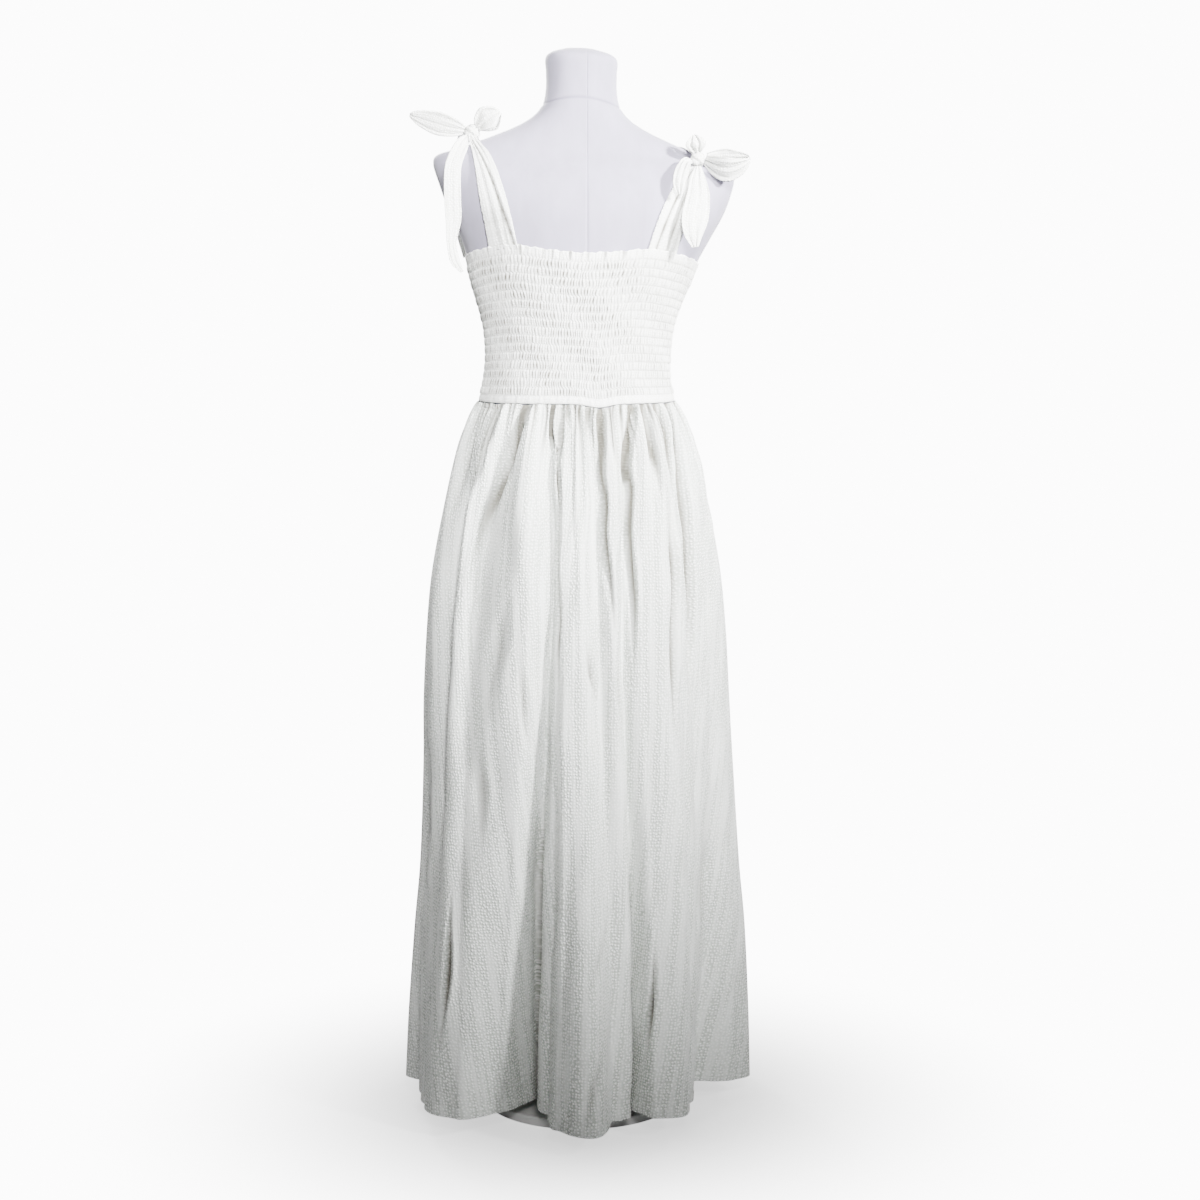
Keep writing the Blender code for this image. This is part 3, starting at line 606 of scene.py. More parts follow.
@dataclass
class DressForm:
    """The limbless form: a torso with a neck and a low dome on it, covered in jersey."""

    squareness: float = 2.25
    lean_per_metre: float = 0.045
    lean_from: float = 0.9345
    lean_to: float = 1.200
    top: float = 1.3830
    # How far up and down the depth is evened out, and the heights between which that fades
    depth_smoothing: float = 0.006
    smoothing_fade: tuple[float, float] = (1.33, 1.35)
    # The cover's rows and columns lie closer where its shape turns fast
    columns: int = 120
    row_step: float = 0.007
    close_row_step: float = 0.0012
    rows_below_neck_seam: float = 0.006
    neck_seam_rows_top: float = 1.330
    row_clearance: float = 0.003
    shoulder_rows: Triple = (1.226, 1.256, 0.0025)
    dome_rows_bottom: float = 1.3640
    seam_columns_deg: tuple[float, ...] = (0.35, 0.7, 1.05, 1.6, 2.2)
    # Rings that close the neck's dome and the underside, in shares of the rim's size
    dome_rings: tuple[float, ...] = (0.02, 0.3, 0.6, 0.85)
    underside_rings: tuple[float, ...] = (0.97, 0.5, 0.02)
    seam_depth: float = 0.0014
    seam_half_width: float = 0.0016
    neck_seam_height: float = 1.3085
    neck_seam_rise: float = 0.0095
    neck_seam_shade: float = 0.7
    neck_step: float = 0.0006
    neck_step_fade: tuple[float, float] = (1.335, 1.350)
    back_seam_x: float = 0.0095
    back_seam_bottom: float = 0.9
    back_seam_half_deg: float = 0.7
    back_seam_depth_share: float = 0.6
    back_seam_shade: float = 0.13
    sections: tuple[Section, ...] = (
        Section(0.64, 0.14, 0.096, -0.004, 0.004),
        Section(0.68, 0.15, 0.104, -0.004, 0.001),
        Section(0.75, 0.157, 0.108, -0.004, -0.002),
        Section(0.82, 0.149, 0.102, -0.005, -0.001),
        Section(0.88, 0.136, 0.097, -0.005, 0.001),
        Section(0.915, 0.127, 0.0935, -0.005, 0.002),
        Section(0.938, 0.1232, 0.0915, -0.005, 0.002),
        Section(0.965, 0.1178, 0.0895, -0.0045, 0.003),
        Section(0.994, 0.1165, 0.089, -0.0033, 0.004),
        Section(1.03, 0.1202, 0.094, -0.0028, 0.007),
        Section(1.064, 0.1304, 0.1035, -0.0022, 0.012),
        Section(1.09, 0.14, 0.111, -0.0004, 0.015),
        Section(1.113, 0.147, 0.1135, 0.0018, 0.014),
        Section(1.15, 0.163, 0.1105, 0.005, 0.008),
        Section(1.179, 0.1775, 0.102, 0.0058, 0.001),
        Section(1.209, 0.1882, 0.086, 0.0056, -0.004),
        Section(1.23, 0.1925, 0.067, 0.0045, -0.007),
        Section(1.2405, 0.186, 0.056, 0.004, -0.008),
        Section(1.249, 0.16, 0.05, 0.0035, -0.008),
        Section(1.265, 0.12, 0.047, 0.003, -0.007),
        Section(1.279, 0.087, 0.046, 0.0025, -0.006),
        Section(1.292, 0.0645, 0.0465, 0.002, -0.005),
        Section(1.3065, 0.0515, 0.047, 0.0016, -0.003),
        Section(1.325, 0.0465, 0.0475, 0.0015, 0),
        Section(1.35, 0.0452, 0.0475, 0.0015, 0.003),
        Section(1.3695, 0.0455, 0.0475, 0.0015, 0.005),
        Section(1.3765, 0.037, 0.039, 0.001, 0.005),
        Section(1.3815, 0.02, 0.021, 0, 0.005),
    )

    def at(self, heights: np.ndarray) -> Section:
        """Find the cross-sections at some heights, with the depth evened out so that the back has no ledges.

        Args:
            heights: The heights.

        Returns:
            One section, with an array in each column.
        """
        section = rows_at(self.sections, heights)
        reach = self.depth_smoothing
        near = [rows_at(self.sections, heights + step) for step in (-reach, -reach / 2, reach / 2, reach)]
        depth = (2 * section.half_depth + sum(row.half_depth for row in near)) / 6
        blend = 1 - smooth_step(*self.smoothing_fade, np.asarray(heights))
        return section._replace(half_depth=section.half_depth + (depth - section.half_depth) * blend)

    def leaned(self, points: np.ndarray) -> np.ndarray:
        """Drop the right side and raise the left of points above the waist, as the form leans.

        Args:
            points: The points before the lean.

        Returns:
            The moved points.
        """
        share = np.clip((points[..., 2] - self.lean_from) / (self.lean_to - self.lean_from), 0.0, 1.0)
        moved = points.copy()
        moved[..., 2] -= self.lean_per_metre * share * points[..., 0]
        return moved

    def outline(self, angles: np.ndarray, heights: np.ndarray, out: np.ndarray | float = 0.0) -> np.ndarray:
        """Points round the torso.

        Args:
            angles: Angles from the middle of the back, in radians.
            heights: The height of each point before the lean.
            out: How far each point stands off the torso.

        Returns:
            The points, in the shape that the angles and the heights give together.
        """
        section = self.at(heights)
        across = (np.abs(np.sin(angles)) / section.half_width) ** self.squareness
        along = (np.abs(np.cos(angles)) / section.half_depth) ** self.squareness
        radius = (across + along) ** (-1 / self.squareness) + out
        x = section.shift_x + radius * np.sin(angles)
        y = section.shift_y - radius * np.cos(angles)
        return self.leaned(np.stack(np.broadcast_arrays(x, y, heights), axis=-1))

    def held_off(self, points: np.ndarray, gap: float) -> np.ndarray:
        """Push points below the waist out of the torso, where they lie nearer to it than a gap.

        Args:
            points: The points, below the form's lean.
            gap: The least distance from the torso.

        Returns:
            The moved points.
        """
        section = self.at(points[..., 2])
        x = points[..., 0] - section.shift_x
        y = section.shift_y - points[..., 1]
        radius = np.hypot(x, y)
        across = (np.abs(x / radius) / section.half_width) ** self.squareness
        along = (np.abs(y / radius) / section.half_depth) ** self.squareness
        least = (across + along) ** (-1 / self.squareness) + gap
        least = np.where(points[..., 2] > self.sections[0].height - 0.01, least, 0.0)
        scale = np.maximum(least / radius, 1.0)
        return np.stack([section.shift_x + x * scale, section.shift_y - y * scale, points[..., 2]], axis=-1)

    def ridge(self, x: np.ndarray) -> np.ndarray:
        """Find the height of the shoulder's ridge, by halving.

        Args:
            x: Places across the form.

        Returns:
            The height at each place.
        """
        low = np.full_like(x, max(self.sections, key=lambda section: section.half_width).height)
        high = np.full_like(x, self.sections[-1].height)
        for _ in range(40):
            middle = (low + high) / 2
            section = self.at(middle)
            wide = section.half_width > np.abs(x - section.shift_x)
            low = np.where(wide, middle, low)
            high = np.where(wide, high, middle)
        return low

    def up_shoulder(self, x: np.ndarray, climb: np.ndarray, half: Half, base: np.ndarray) -> np.ndarray:
        """Points up a shoulder, before the lean.

        Args:
            x: Places across the form.
            climb: 0 at the bodice, 1 on the shoulder's ridge, and more on its far side.
            half: The half that the strap starts on.
            base: The height where the climb is 0.

        Returns:
            The points on the form.
        """
        over = climb > 1
        near = np.where(over, 2 - climb, climb)
        height = base + (self.ridge(x) - base) * np.sin(near * math.pi / 2)
        section = self.at(height)
        across = np.minimum(np.abs(x - section.shift_x) / section.half_width, 1.0)
        depth = section.half_depth * (1 - across**self.squareness) ** (1 / self.squareness)
        way = np.where(over, -half.outward, half.outward)
        return np.stack([x, section.shift_y + way * depth, height], axis=-1)

    def column_angles(self, heights: np.ndarray) -> tuple[np.ndarray, np.ndarray]:
        """Angles of the cover's columns, close together along the seam down the middle of the back.

        Args:
            heights: The rows' heights.

        Returns:
            Each column's distance from the seam in degrees, and its angle in each row in radians.
        """
        even = np.linspace(-180.0, 180.0, self.columns + 1)
        fine = np.array(self.seam_columns_deg)
        off_seam = np.unique(np.concatenate([even[np.abs(even) > 2.5], [0.0], fine, -fine]))
        section = self.at(heights)
        seam = np.arcsin(np.clip((self.back_seam_x - section.shift_x) / section.half_depth, -0.3, 0.3))
        pull = np.clip(1 - np.abs(off_seam) / 90.0, 0.0, 1.0)
        return off_seam, np.radians(off_seam)[None, :] + seam[:, None] * pull[None, :]

    def row_heights(self) -> np.ndarray:
        """Find the heights of the cover's rows.

        Returns:
            The heights, from the neck down.
        """
        last = self.sections[-1].height
        seam_bottom = self.neck_seam_height - self.rows_below_neck_seam
        around_seam = np.arange(seam_bottom, self.neck_seam_rows_top, self.close_row_step)
        even = np.arange(self.sections[0].height, last, self.row_step)
        below = even < around_seam[0] - self.row_clearance
        above = even > around_seam[-1] + self.row_clearance
        shoulder = np.arange(*self.shoulder_rows)
        dome_rim = np.arange(self.dome_rows_bottom, last, self.close_row_step)
        rows = np.concatenate([even[below | above], around_seam, shoulder, dome_rim, [last]])
        return np.unique(np.round(rows, 5))[::-1]

    def on_axis(self, section: Section, height: float) -> np.ndarray:
        """Find the middle of a section, at a height."""
        return self.leaned(np.array([section.shift_x, section.shift_y, height]))

    def build(self, jersey: bpy.types.Material) -> None:
        """Make the torso's cover, closed under the thighs and over the neck's dome.

        Args:
            jersey: Its cloth.
        """
        heights = self.row_heights()
        off_seam, angles = self.column_angles(heights)
        level = np.broadcast_to(heights[:, None], angles.shape)
        seam_line = self.neck_seam_height + self.neck_seam_rise * np.cos(angles) ** 2
        across_neck = np.exp(-(((level - seam_line) / self.seam_half_width) ** 2))
        down_back = np.exp(-((off_seam / self.back_seam_half_deg) ** 2)) * (level > self.back_seam_bottom)
        groove = -self.seam_depth * np.maximum(across_neck, self.back_seam_depth_share * down_back)
        cap = self.neck_step * smooth_step(0.0, 0.002, level - seam_line)
        groove = groove - cap * (1 - smooth_step(*self.neck_step_fade, level))
        wall = self.outline(angles, level, groove)
        top = self.on_axis(self.sections[-1], self.top)
        bottom = self.on_axis(self.sections[0], self.sections[0].height)
        dome = np.array([top + (wall[0] - top) * np.array([s, s, s * s]) for s in self.dome_rings])
        underside = np.array([bottom + (wall[-1] - bottom) * s for s in self.underside_rings])
        points = np.concatenate([dome, wall, underside])
        points[:, -1] = points[:, 0]
        crease = np.zeros(points.shape[:2])
        # Painted shade along the neck seam and along the seam down the back
        seams = np.maximum(self.neck_seam_shade * across_neck, self.back_seam_shade * down_back)
        crease[len(dome) : len(dome) + len(wall)] = seams
        cover = lay_sheet("form_cover", points, np.zeros(points.shape[:2] + (2,)), crease)
        bpy.ops.object.mode_set(mode="EDIT")
        bpy.ops.mesh.select_all(action="SELECT")
        bpy.ops.mesh.remove_doubles(threshold=1e-5)
        bpy.ops.mesh.select_all(action="DESELECT")
        bpy.ops.mesh.select_non_manifold()
        bpy.ops.mesh.edge_face_add()
        bpy.ops.object.mode_set(mode="OBJECT")
        cover.data.materials.append(jersey)
        hand_over(cover, Slot.JERSEY, "form_torso")


@dataclass
class Stand:
    """The pole and the round base that carry the torso."""

    pole_radius: float = 0.0125
    pole_sides: int = 48
    base_radius: float = 0.130
    base_sides: int = 128
    base_thickness: float = 0.012
    edge_radius: float = 0.002
    edge_segments: int = 4
    # Edges that turn by less than this are shaded smooth
    smooth_deg: float = 40.0
    torso_bottom: float = 0.640

    def add_cylinder(self, name: str, radius: float, low: float, high: float, sides: int) -> bpy.types.Object:
        """Add an upright cylinder.

        Args:
            name: The piece's name.
            radius: Its radius.
            low: The height of its lower end.
            high: The height of its upper end.
            sides: How many sides it has.

        Returns:
            The piece, with its place in its mesh.
        """
        deselect_all()
        bpy.ops.mesh.primitive_cylinder_add(
            vertices=sides, radius=radius, depth=high - low, location=(0.0, 0.0, (low + high) / 2)
        )
        piece = bpy.context.object
        piece.name = name
        bpy.ops.object.transform_apply(location=True, rotation=True, scale=True)
        return piece

    def round_rim(self, piece: bpy.types.Object, height: float) -> None:
        """Bevel the rim of a cylinder.

        Args:
            piece: The cylinder, which is the active object.
            height: The height of the rim.
        """
        for edge in piece.data.edges:
            edge.select = all(abs(piece.data.vertices[i].co.z - height) < 1e-5 for i in edge.vertices)
        bpy.ops.object.mode_set(mode="EDIT")
        bpy.ops.mesh.select_mode(type="EDGE")
        bpy.ops.mesh.bevel(offset=self.edge_radius, segments=self.edge_segments, affect="EDGES")
        bpy.ops.object.mode_set(mode="OBJECT")

    def build(self, paint: bpy.types.Material) -> None:
        """Make the base and the pole.

        Args:
            paint: Their coat.
        """
        base = self.add_cylinder("stand_base", self.base_radius, 0.0, self.base_thickness, self.base_sides)
        self.round_rim(base, self.base_thickness)
        pole_low = self.base_thickness + SEAM_GAP
        pole_high = self.torso_bottom - SEAM_GAP
        pole = self.add_cylinder("stand_pole", self.pole_radius, pole_low, pole_high, self.pole_sides)
        for piece, node in ((base, "form_base"), (pole, "form_pole")):
            deselect_all()
            piece.select_set(True)
            bpy.context.view_layer.objects.active = piece
            bpy.ops.object.shade_smooth_by_angle(angle=math.radians(self.smooth_deg))
            piece.data.materials.append(paint)
            hand_over(piece, Slot.PAINT, node)


class TopEdge(NamedTuple):
    """The height of the bodice's top edge at an angle from the middle of the back or the front."""

    angle_deg: float
    height: float


@dataclass
class Bodice:
    """The shirred bodice: a heading, rows of elastic with puckers between them, and a plain band."""

    form: DressForm
    ease: float = 0.0018
    wall: float = 0.0006
    waist: float = 0.9345
    waist_dip: float = 0.0045
    dip_deg: float = 17.0
    dip_spread_deg: float = 11.0
    heading: float = 0.012
    band: float = 0.010
    # Rows of the mesh in the heading, and in the band
    edge_rows: int = 6
    elastic_rows: int = 17
    puckers: int = 86
    # A pucker's width along its row, and how much more cloth is gathered into it
    pucker_width: float = 0.0046
    fullness: float = 1.35
    pucker_columns: tuple[float, ...] = (0.0, 0.09, 0.28, 0.5, 0.72, 0.91)
    pucker_rows: tuple[float, ...] = (0.0, 0.13, 0.36, 0.64, 0.87)
    pucker_height: float = 0.0021
    pucker_scatter: float = 0.24
    # Shares of a pucker's height on a row of elastic and in the valley beside it
    through_elastic: float = 0.62
    through_valley: float = 0.12
    elastic_groove: float = 0.0004
    heading_height: float = 0.0011
    heading_pucker: float = 0.0003
    band_height: float = 0.0010
    band_least: float = 0.0004
    edge_waves: tuple[float, float] = (0.0006, 0.0004)
    tuck_height: float = 0.0022
    tuck_half_deg: float = 0.9
    back_tucks_deg: tuple[float, ...] = (-58.0, -37.4, -23.5, -18.0, -6.9, 4.0, 15.3, 27.0, 38.2, 55.0)
    front_tucks_deg: tuple[float, ...] = (-61.0, -44.0, -30.0, -14.0, -5.0, 9.0, 24.0, 40.0, 57.0)
    # How dark the painted shade in the crease between two puckers is by the distance from its middle, in
    # puckers
    crease_places: tuple[float, ...] = (0.0, 0.09, 0.28, 0.5)
    crease_shades: tuple[float, ...] = (1.0, 1.0, 0.42, 0.0)
    # Seen from behind, the painted shade between the puckers is lighter to the right, and the painted shade
    # along the rows darker, from the first of these shares of the width to all over at the second
    right_side_shade_shift: tuple[float, float] = (0.56, 0.80)
    # The relief fades to a share of itself over this share of the width from a side seam
    seam_calm: float = 0.02
    seam_relief: float = 0.15
    back_seed: float = 0.6
    front_seed: float = 3.7
    top_edge: tuple[TopEdge, ...] = (
        TopEdge(0, 1.1235),
        TopEdge(22, 1.1265),
        TopEdge(42, 1.131),
        TopEdge(62, 1.125),
        TopEdge(90, 1.113),
    )

    @property
    def drop(self) -> float:
        """Height of the bodice at the middle."""
        return self.top_edge[0].height - self.waist

    @property
    def pitch(self) -> float:
        """Distance between two rows of elastic."""
        return (self.drop - self.heading - self.band) / (self.elastic_rows - 1)

    def top_height(self, angles: np.ndarray) -> np.ndarray:
        """Height of the top edge at angles on one half."""
        places = [math.radians(row.angle_deg) for row in self.top_edge]
        return smooth_curve(places, [row.height for row in self.top_edge], np.abs(angles))

    def waist_height(self, angles: np.ndarray, half: Half) -> np.ndarray:
        """Height of the waist seam at angles on a half. It dips a little at the back."""
        dip = np.exp(-(((np.degrees(angles) - self.dip_deg) / self.dip_spread_deg) ** 2))
        return self.waist - (self.waist_dip if half is Half.BACK else 0.0) * dip

    def seam_angle(self, half: Half, heights: np.ndarray, out: np.ndarray | float) -> np.ndarray:
        """Find the angle from the middle of a half to its side seam.

        Args:
            half: The half.
            heights: The height of each place.
            out: How far each place stands off the torso.

        Returns:
            The angle at each place, in radians.
        """
        section = self.form.at(heights)
        back = np.arccos((section.shift_y - SIDE_SEAM_Y) / (section.half_width + out))
        return back if half is Half.BACK else math.pi - back

    def row_places(self) -> np.ndarray:
        """Find the places of the mesh's rows, counted in elastic rows from the first one.

        Returns:
            The places, from the top edge down.
        """
        above = np.linspace(-self.heading / self.pitch, 0.0, self.edge_rows + 1)[:-1]
        between = np.arange(self.elastic_rows - 1)[:, None] + np.array(self.pucker_rows)
        below = np.linspace(0.0, self.band / self.pitch, self.edge_rows + 1) + self.elastic_rows - 1
        return np.concatenate([above, between.ravel(), below])

    def row_slide(self, number: np.ndarray, row: np.ndarray, seed: float) -> np.ndarray:
        """Find how far the puckers of whole rows slide along them.

        Args:
            number: Each column's place, in puckers.
            row: The rows' numbers.
            seed: What makes the two halves differ.

        Returns:
            A slide in puckers for each row and column.
        """
        row = row[:, None]
        slide = 0.30 * uneven(row * 3.1, seed)
        slide = slide + 0.30 * np.sin(number * 0.73 + row * 1.9 + seed)
        return slide + 0.22 * np.sin(number * 0.27 - row * 2.7 + seed * 2)

    def sideways(self, number: np.ndarray, places: np.ndarray, seed: float) -> np.ndarray:
        """Find how far each point slides along its row, so that the puckers of each row differ.

        Args:
            number: Each column's place, in puckers.
            places: Each row's place, in elastic rows.
            seed: What makes the two halves differ.

        Returns:
            A slide in puckers for each row and column.
        """
        last = self.elastic_rows - 1
        # A row of puckers moves as one, and blends into the next row on the elastic between them
        low = np.floor(places - 0.5)
        share = smooth_step(0.3, 0.7, places - 0.5 - low)[:, None]
        here = self.row_slide(number, low, seed)
        moved = here + (self.row_slide(number, low + 1, seed) - here) * share
        slant = 0.5 * np.sin(number * 0.41 + low[:, None] * 1.3) * (places - np.floor(places) - 0.5)[:, None]
        fade = smooth_step(-1.0, 0.0, places) * (1 - smooth_step(last + 0.2, last + 1.0, places))
        return (moved + slant) * fade[:, None]

    def relief(self, number: np.ndarray, places: np.ndarray, seed: float) -> np.ndarray:
        """Find how far the cloth stands off the plain wall.

        Args:
            number: Each column's place, in puckers.
            places: Each row's place, in elastic rows.
            seed: What makes the two halves differ.

        Returns:
            A height for each row and column.
        """
        last = self.elastic_rows - 1
        row = np.floor(places + ROUNDING)
        turn = places - row
        # Each pucker is a full roll between two rows of elastic, and of its own size
        bulge = np.where(turn < ROUNDING, 0.0, np.sin(math.pi * np.clip(turn, 0, 1)) ** 0.7)[:, None]
        crown = np.abs(np.sin(math.pi * number)) ** 0.6
        scatter = uneven(np.floor(number + ROUNDING) * 1.3 + row[:, None] * 17.0, seed)
        size = 1 - self.pucker_scatter + self.pucker_scatter * scatter
        pucker = self.pucker_height * size * (self.through_elastic + (1 - self.through_elastic) * bulge)
        pucker = pucker * (self.through_valley + (1 - self.through_valley) * crown)
        pucker = pucker + self.elastic_groove * (bulge > 0)
        # The heading has the puckers' crowns at its foot, and waves freely towards its edge
        rise = np.clip(-places / abs(places[0]), 0.0, 1.0)[:, None]
        wave = np.sin(number * 1.9 + 1.3 * np.sin(number * 0.43 + seed))
        wave = wave + 0.7 * np.sin(number * 3.3 + 2.1 * np.sin(number * 0.31 + seed))
        heading = self.heading_height * (0.9 + 0.5 * wave * rise + 0.4 * crown * (1 - rise) ** 2)
        heading = heading * (1 - 0.5 * np.exp(-rise * 9)) + self.heading_pucker * crown
        # The band rolls out between its seams, with the puckers still in its upper part
        sink = np.clip((places - last) / (places[-1] - last), 0.0, 1.0)[:, None]
        soft = 1 + 0.5 * np.sin(math.pi * number) * np.exp(-sink * 2) + 0.25 * np.sin(number * 1.7 + seed)
        band = self.band_height * soft * np.sin(math.pi * sink) ** 0.6 + self.band_least
        inner = np.where(places[:, None] >= last, band, pucker)
        return np.where(places[:, None] < -ROUNDING, heading, inner)

    def creases(self, half: Half, number: np.ndarray, places: np.ndarray, seed: float) -> np.ndarray:
        """Find the painted shade in the sharp creases between two puckers, in the heading and along the rows.

        Args:
            half: The half.
            number: Each column's place, in puckers.
            places: Each row's place, in elastic rows.
            seed: What makes the two halves differ.

        Returns:
            A share for each row and column.
        """
        row = np.floor(places + ROUNDING)[:, None]
        turn = np.clip(places[:, None] - row, 0.0, 1.0)
        nearest = np.floor(number + 0.5)
        line = np.interp(np.abs(number - nearest), self.crease_places, self.crease_shades)[None, :]
        chance = 0.75 + 0.6 * uneven(nearest * 1.7 + row * 11.0, seed + 1.0)
        to_right = number / self.puckers if half is Half.BACK else 1 - number / self.puckers
        flat = smooth_step(*self.right_side_shade_shift, to_right)[None, :]
        inside = ((places > -ROUNDING) & (places < self.elastic_rows - 1))[:, None]
        level = np.where(inside, 0.1 + 0.9 * np.sin(math.pi * turn), 0.0) * (1 - 0.4 * flat)
        # Painted shade in the heading, fading out towards its top edge
        heading = 0.35 * np.clip(1 + places[:, None] / 0.7, 0.0, 1.0) * (places[:, None] < 0)
        # Painted shade along the rows where the cloth is stitched, darker to the right
        elastic = np.where(inside, np.clip(1 - 6 * np.minimum(turn, 1 - turn), 0.0, 1.0), 0.0)
        return line * chance * (level + heading) + 0.55 * elastic * (0.25 + 0.75 * flat)

    def tucks(self, half: Half, angles: np.ndarray, places: np.ndarray) -> np.ndarray:
        """Find the height of the small upright tucks in the heading.

        Args:
            half: The half.
            angles: Each point's angle on the half, in radians.
            places: Each row's place, in elastic rows.

        Returns:
            A height for each row and column, above 0 right of a tuck's middle and below 0 left of it.
        """
        rise = np.clip(-places / abs(places[0]), 0.0, 1.0)[:, None] ** 0.5
        turned = np.degrees(angles)
        height = np.zeros_like(turned)
        for i, place in enumerate(self.back_tucks_deg if half is Half.BACK else self.front_tucks_deg):
            away = (turned - place) / self.tuck_half_deg
            size = self.tuck_height * (0.7 + 0.3 * math.sin(i * 2.1))
            height += size * (np.exp(-((away - 0.8) ** 2)) - 0.9 * np.exp(-((away + 0.7) ** 2)))
        return height * rise

    def build_half(self, half: Half, cotton: bpy.types.Material) -> None:
        """Make one half of the bodice.

        Args:
            half: The half to make.
            cotton: Its cloth.
        """
        places = self.row_places()
        number = (np.arange(self.puckers)[:, None] + np.array(self.pucker_columns)).ravel()
        number = np.append(number, self.puckers)
        seed = self.back_seed if half is Half.BACK else self.front_seed
        at_seam = np.minimum(number, self.puckers - number) / self.puckers
        calm = smooth_step(0.0, self.seam_calm, at_seam)
        slid = (number + self.sideways(number, places, seed) * calm) / self.puckers
        position = 2 * slid - 1
        angles = position * math.pi / 2
        tucks = self.tucks(half, angles, places)
        relief = self.relief(number, places, seed) + tucks
        relief = relief * (self.seam_relief + (1 - self.seam_relief) * calm[None, :])
        shares = (self.heading + self.pitch * places) / self.drop
        top = self.top_height(angles)
        bottom = self.waist_height(angles, half)
        heights = top + (bottom - top) * shares[:, None]
        long_wave, short_wave = self.edge_waves
        edge_wave = long_wave * np.sin(number * 1.3 + seed) + short_wave * np.sin(number * 2.9 - seed)
        heights[0] += edge_wave * calm
        out = self.ease + self.wall + relief
        out[-1] -= ALLOWANCE_TURN
        edge = self.seam_angle(half, heights, out)
        points = self.form.outline(position * edge + half.turn, heights, out)
        points[:, [0, -1], 1] = SIDE_SEAM_Y
        points[..., 1] += half.outward * SEAM_GAP / 2
        width = self.fullness * self.puckers * self.pucker_width
        length = float(np.mean(top[0] - bottom[-1]))
        across = number[None, :] / self.puckers * width
        uv = np.stack(np.broadcast_arrays(across, (1 - shares[:, None]) * length), axis=-1)
        # Painted shade in the creases between puckers, and beside each tuck's fold
        crease = self.creases(half, number, places, seed) * calm
        crease = crease + 1.1 * np.clip(-tucks / self.tuck_height, 0.0, 1.0)
        piece = lay_sheet(f"shirred_{half.value}", points, uv, crease)
        apply_modifier(piece, "SOLIDIFY", thickness=self.wall, offset=-1.0)
        piece.data.materials.append(cotton)
        hand_over(piece, Slot.COTTON, f"bodice_{half.value}")

    def build(self, cotton: bpy.types.Material) -> None:
        """Make both halves from a cloth."""
        for half in Half:
            self.build_half(half, cotton)


class SkirtSection(NamedTuple):
    """The skirt's mean outline at a height, before its folds."""

    height: float
    half_width: float
    back_depth: float
    front_depth: float
    shift_x: float
    squareness: float


class Fold(NamedTuple):
    """A line down the skirt, a crest or a valley: where it runs, and how far it stands off the mean."""

    gathers: int
    waist_deg: float
    hip_deg: float
    hem_deg: float
    top_mm: float
    hip_mm: float
    knee_mm: float
    hem_mm: float


class Crease(NamedTuple):
    """A soft trough or ridge: stops of angle and height, its depth and half its width.

    A trough has a depth above 0, and a ridge has one below 0.
    """

    stops: tuple[tuple[float, float], ...]
    depth_mm: float
    half_width_mm: float


BACK_FOLDS = (
    Fold(1, -90, -90, -90, 0, 0, 0, 5),
    Fold(1, -82, -80, -84, -2, -2, -6, -17),
    Fold(1, -74, -70, -68, 2, 3, 0, -4),
    Fold(1, -66, -60, -60, -5, -8, -2, 10),
    Fold(2, -57, -53, -50, 3, 4, 12, 27),
    Fold(1, -41, -47, -42, -9, -6, 6, 20),
    Fold(1, -29, -20, -35, 6, 8, 3, -26),
    Fold(1, -18.6, -10.5, -30, -7, -9, -30, -106),
    Fold(1, -14, -7.5, -14.5, 0, 0, -4, -44),
    Fold(1, -8, -3, -7.5, 2, 3, 9, 14),
    Fold(2, 0, 2, 3, 3, 4, 13, 42),
    Fold(1, 13, 11, 13, -6, -5, -3, -18),
    Fold(1, 24, 17, 19, 4, 4, 2, -22),
    Fold(1, 36, 23, 25.3, -8, -7, -14, -64),
    Fold(1, 44, 30, 29, 3, 3, 3, -12),
    Fold(1, 53, 38, 38, 5, 7, 10, -3),
    Fold(1, 62, 49, 50, -3, 0, -6, -38),
    Fold(1, 70, 58, 66, -6, -7, -20, -74),
    Fold(1, 78, 68, 79.5, 0, -4, -18, -84),
    Fold(1, 84, 80, 84, 2, 0, -4, -25),
    Fold(0, 90, 90, 90, 0, 0, 0, -4),
)
FRONT_FOLDS = (
    Fold(1, -90, -90, -90, 0, 0, 0, -4),
    Fold(1, -81, -78, -80, -2, -4, -9, -20),
    Fold(2, -72, -66, -63, 3, 4, 10, 20),
    Fold(1, -57, -52, -50, -6, -7, -12, -34),
    Fold(1, -49, -42, -42, 3, 4, 2, -8),
    Fold(2, -40, -33, -33, 4, 6, 12, 24),
    Fold(1, -26, -20, -21, -7, -8, -18, -62),
    Fold(1, -18, -12, -13, 3, 3, 2, -8),
    Fold(2, -8, -2, -2, 4, 6, 12, 34),
    Fold(1, 8, 9, 10, -6, -5, -4, -14),
    Fold(1, 17, 17, 17, 3, 4, 6, 10),
    Fold(1, 27, 26, 27, -8, -8, -20, -70),
    Fold(1, 36, 34, 34, 2, 3, 0, -10),
    Fold(2, 45, 43, 43, 5, 6, 12, 26),
    Fold(1, 60, 58, 59, -6, -7, -13, -40),
    Fold(1, 70, 69, 70, 3, 3, 4, 6),
    Fold(1, 80, 80, 81, -2, -2, -5, -14),
    Fold(0, 90, 90, 90, 0, 0, 0, 5),
)
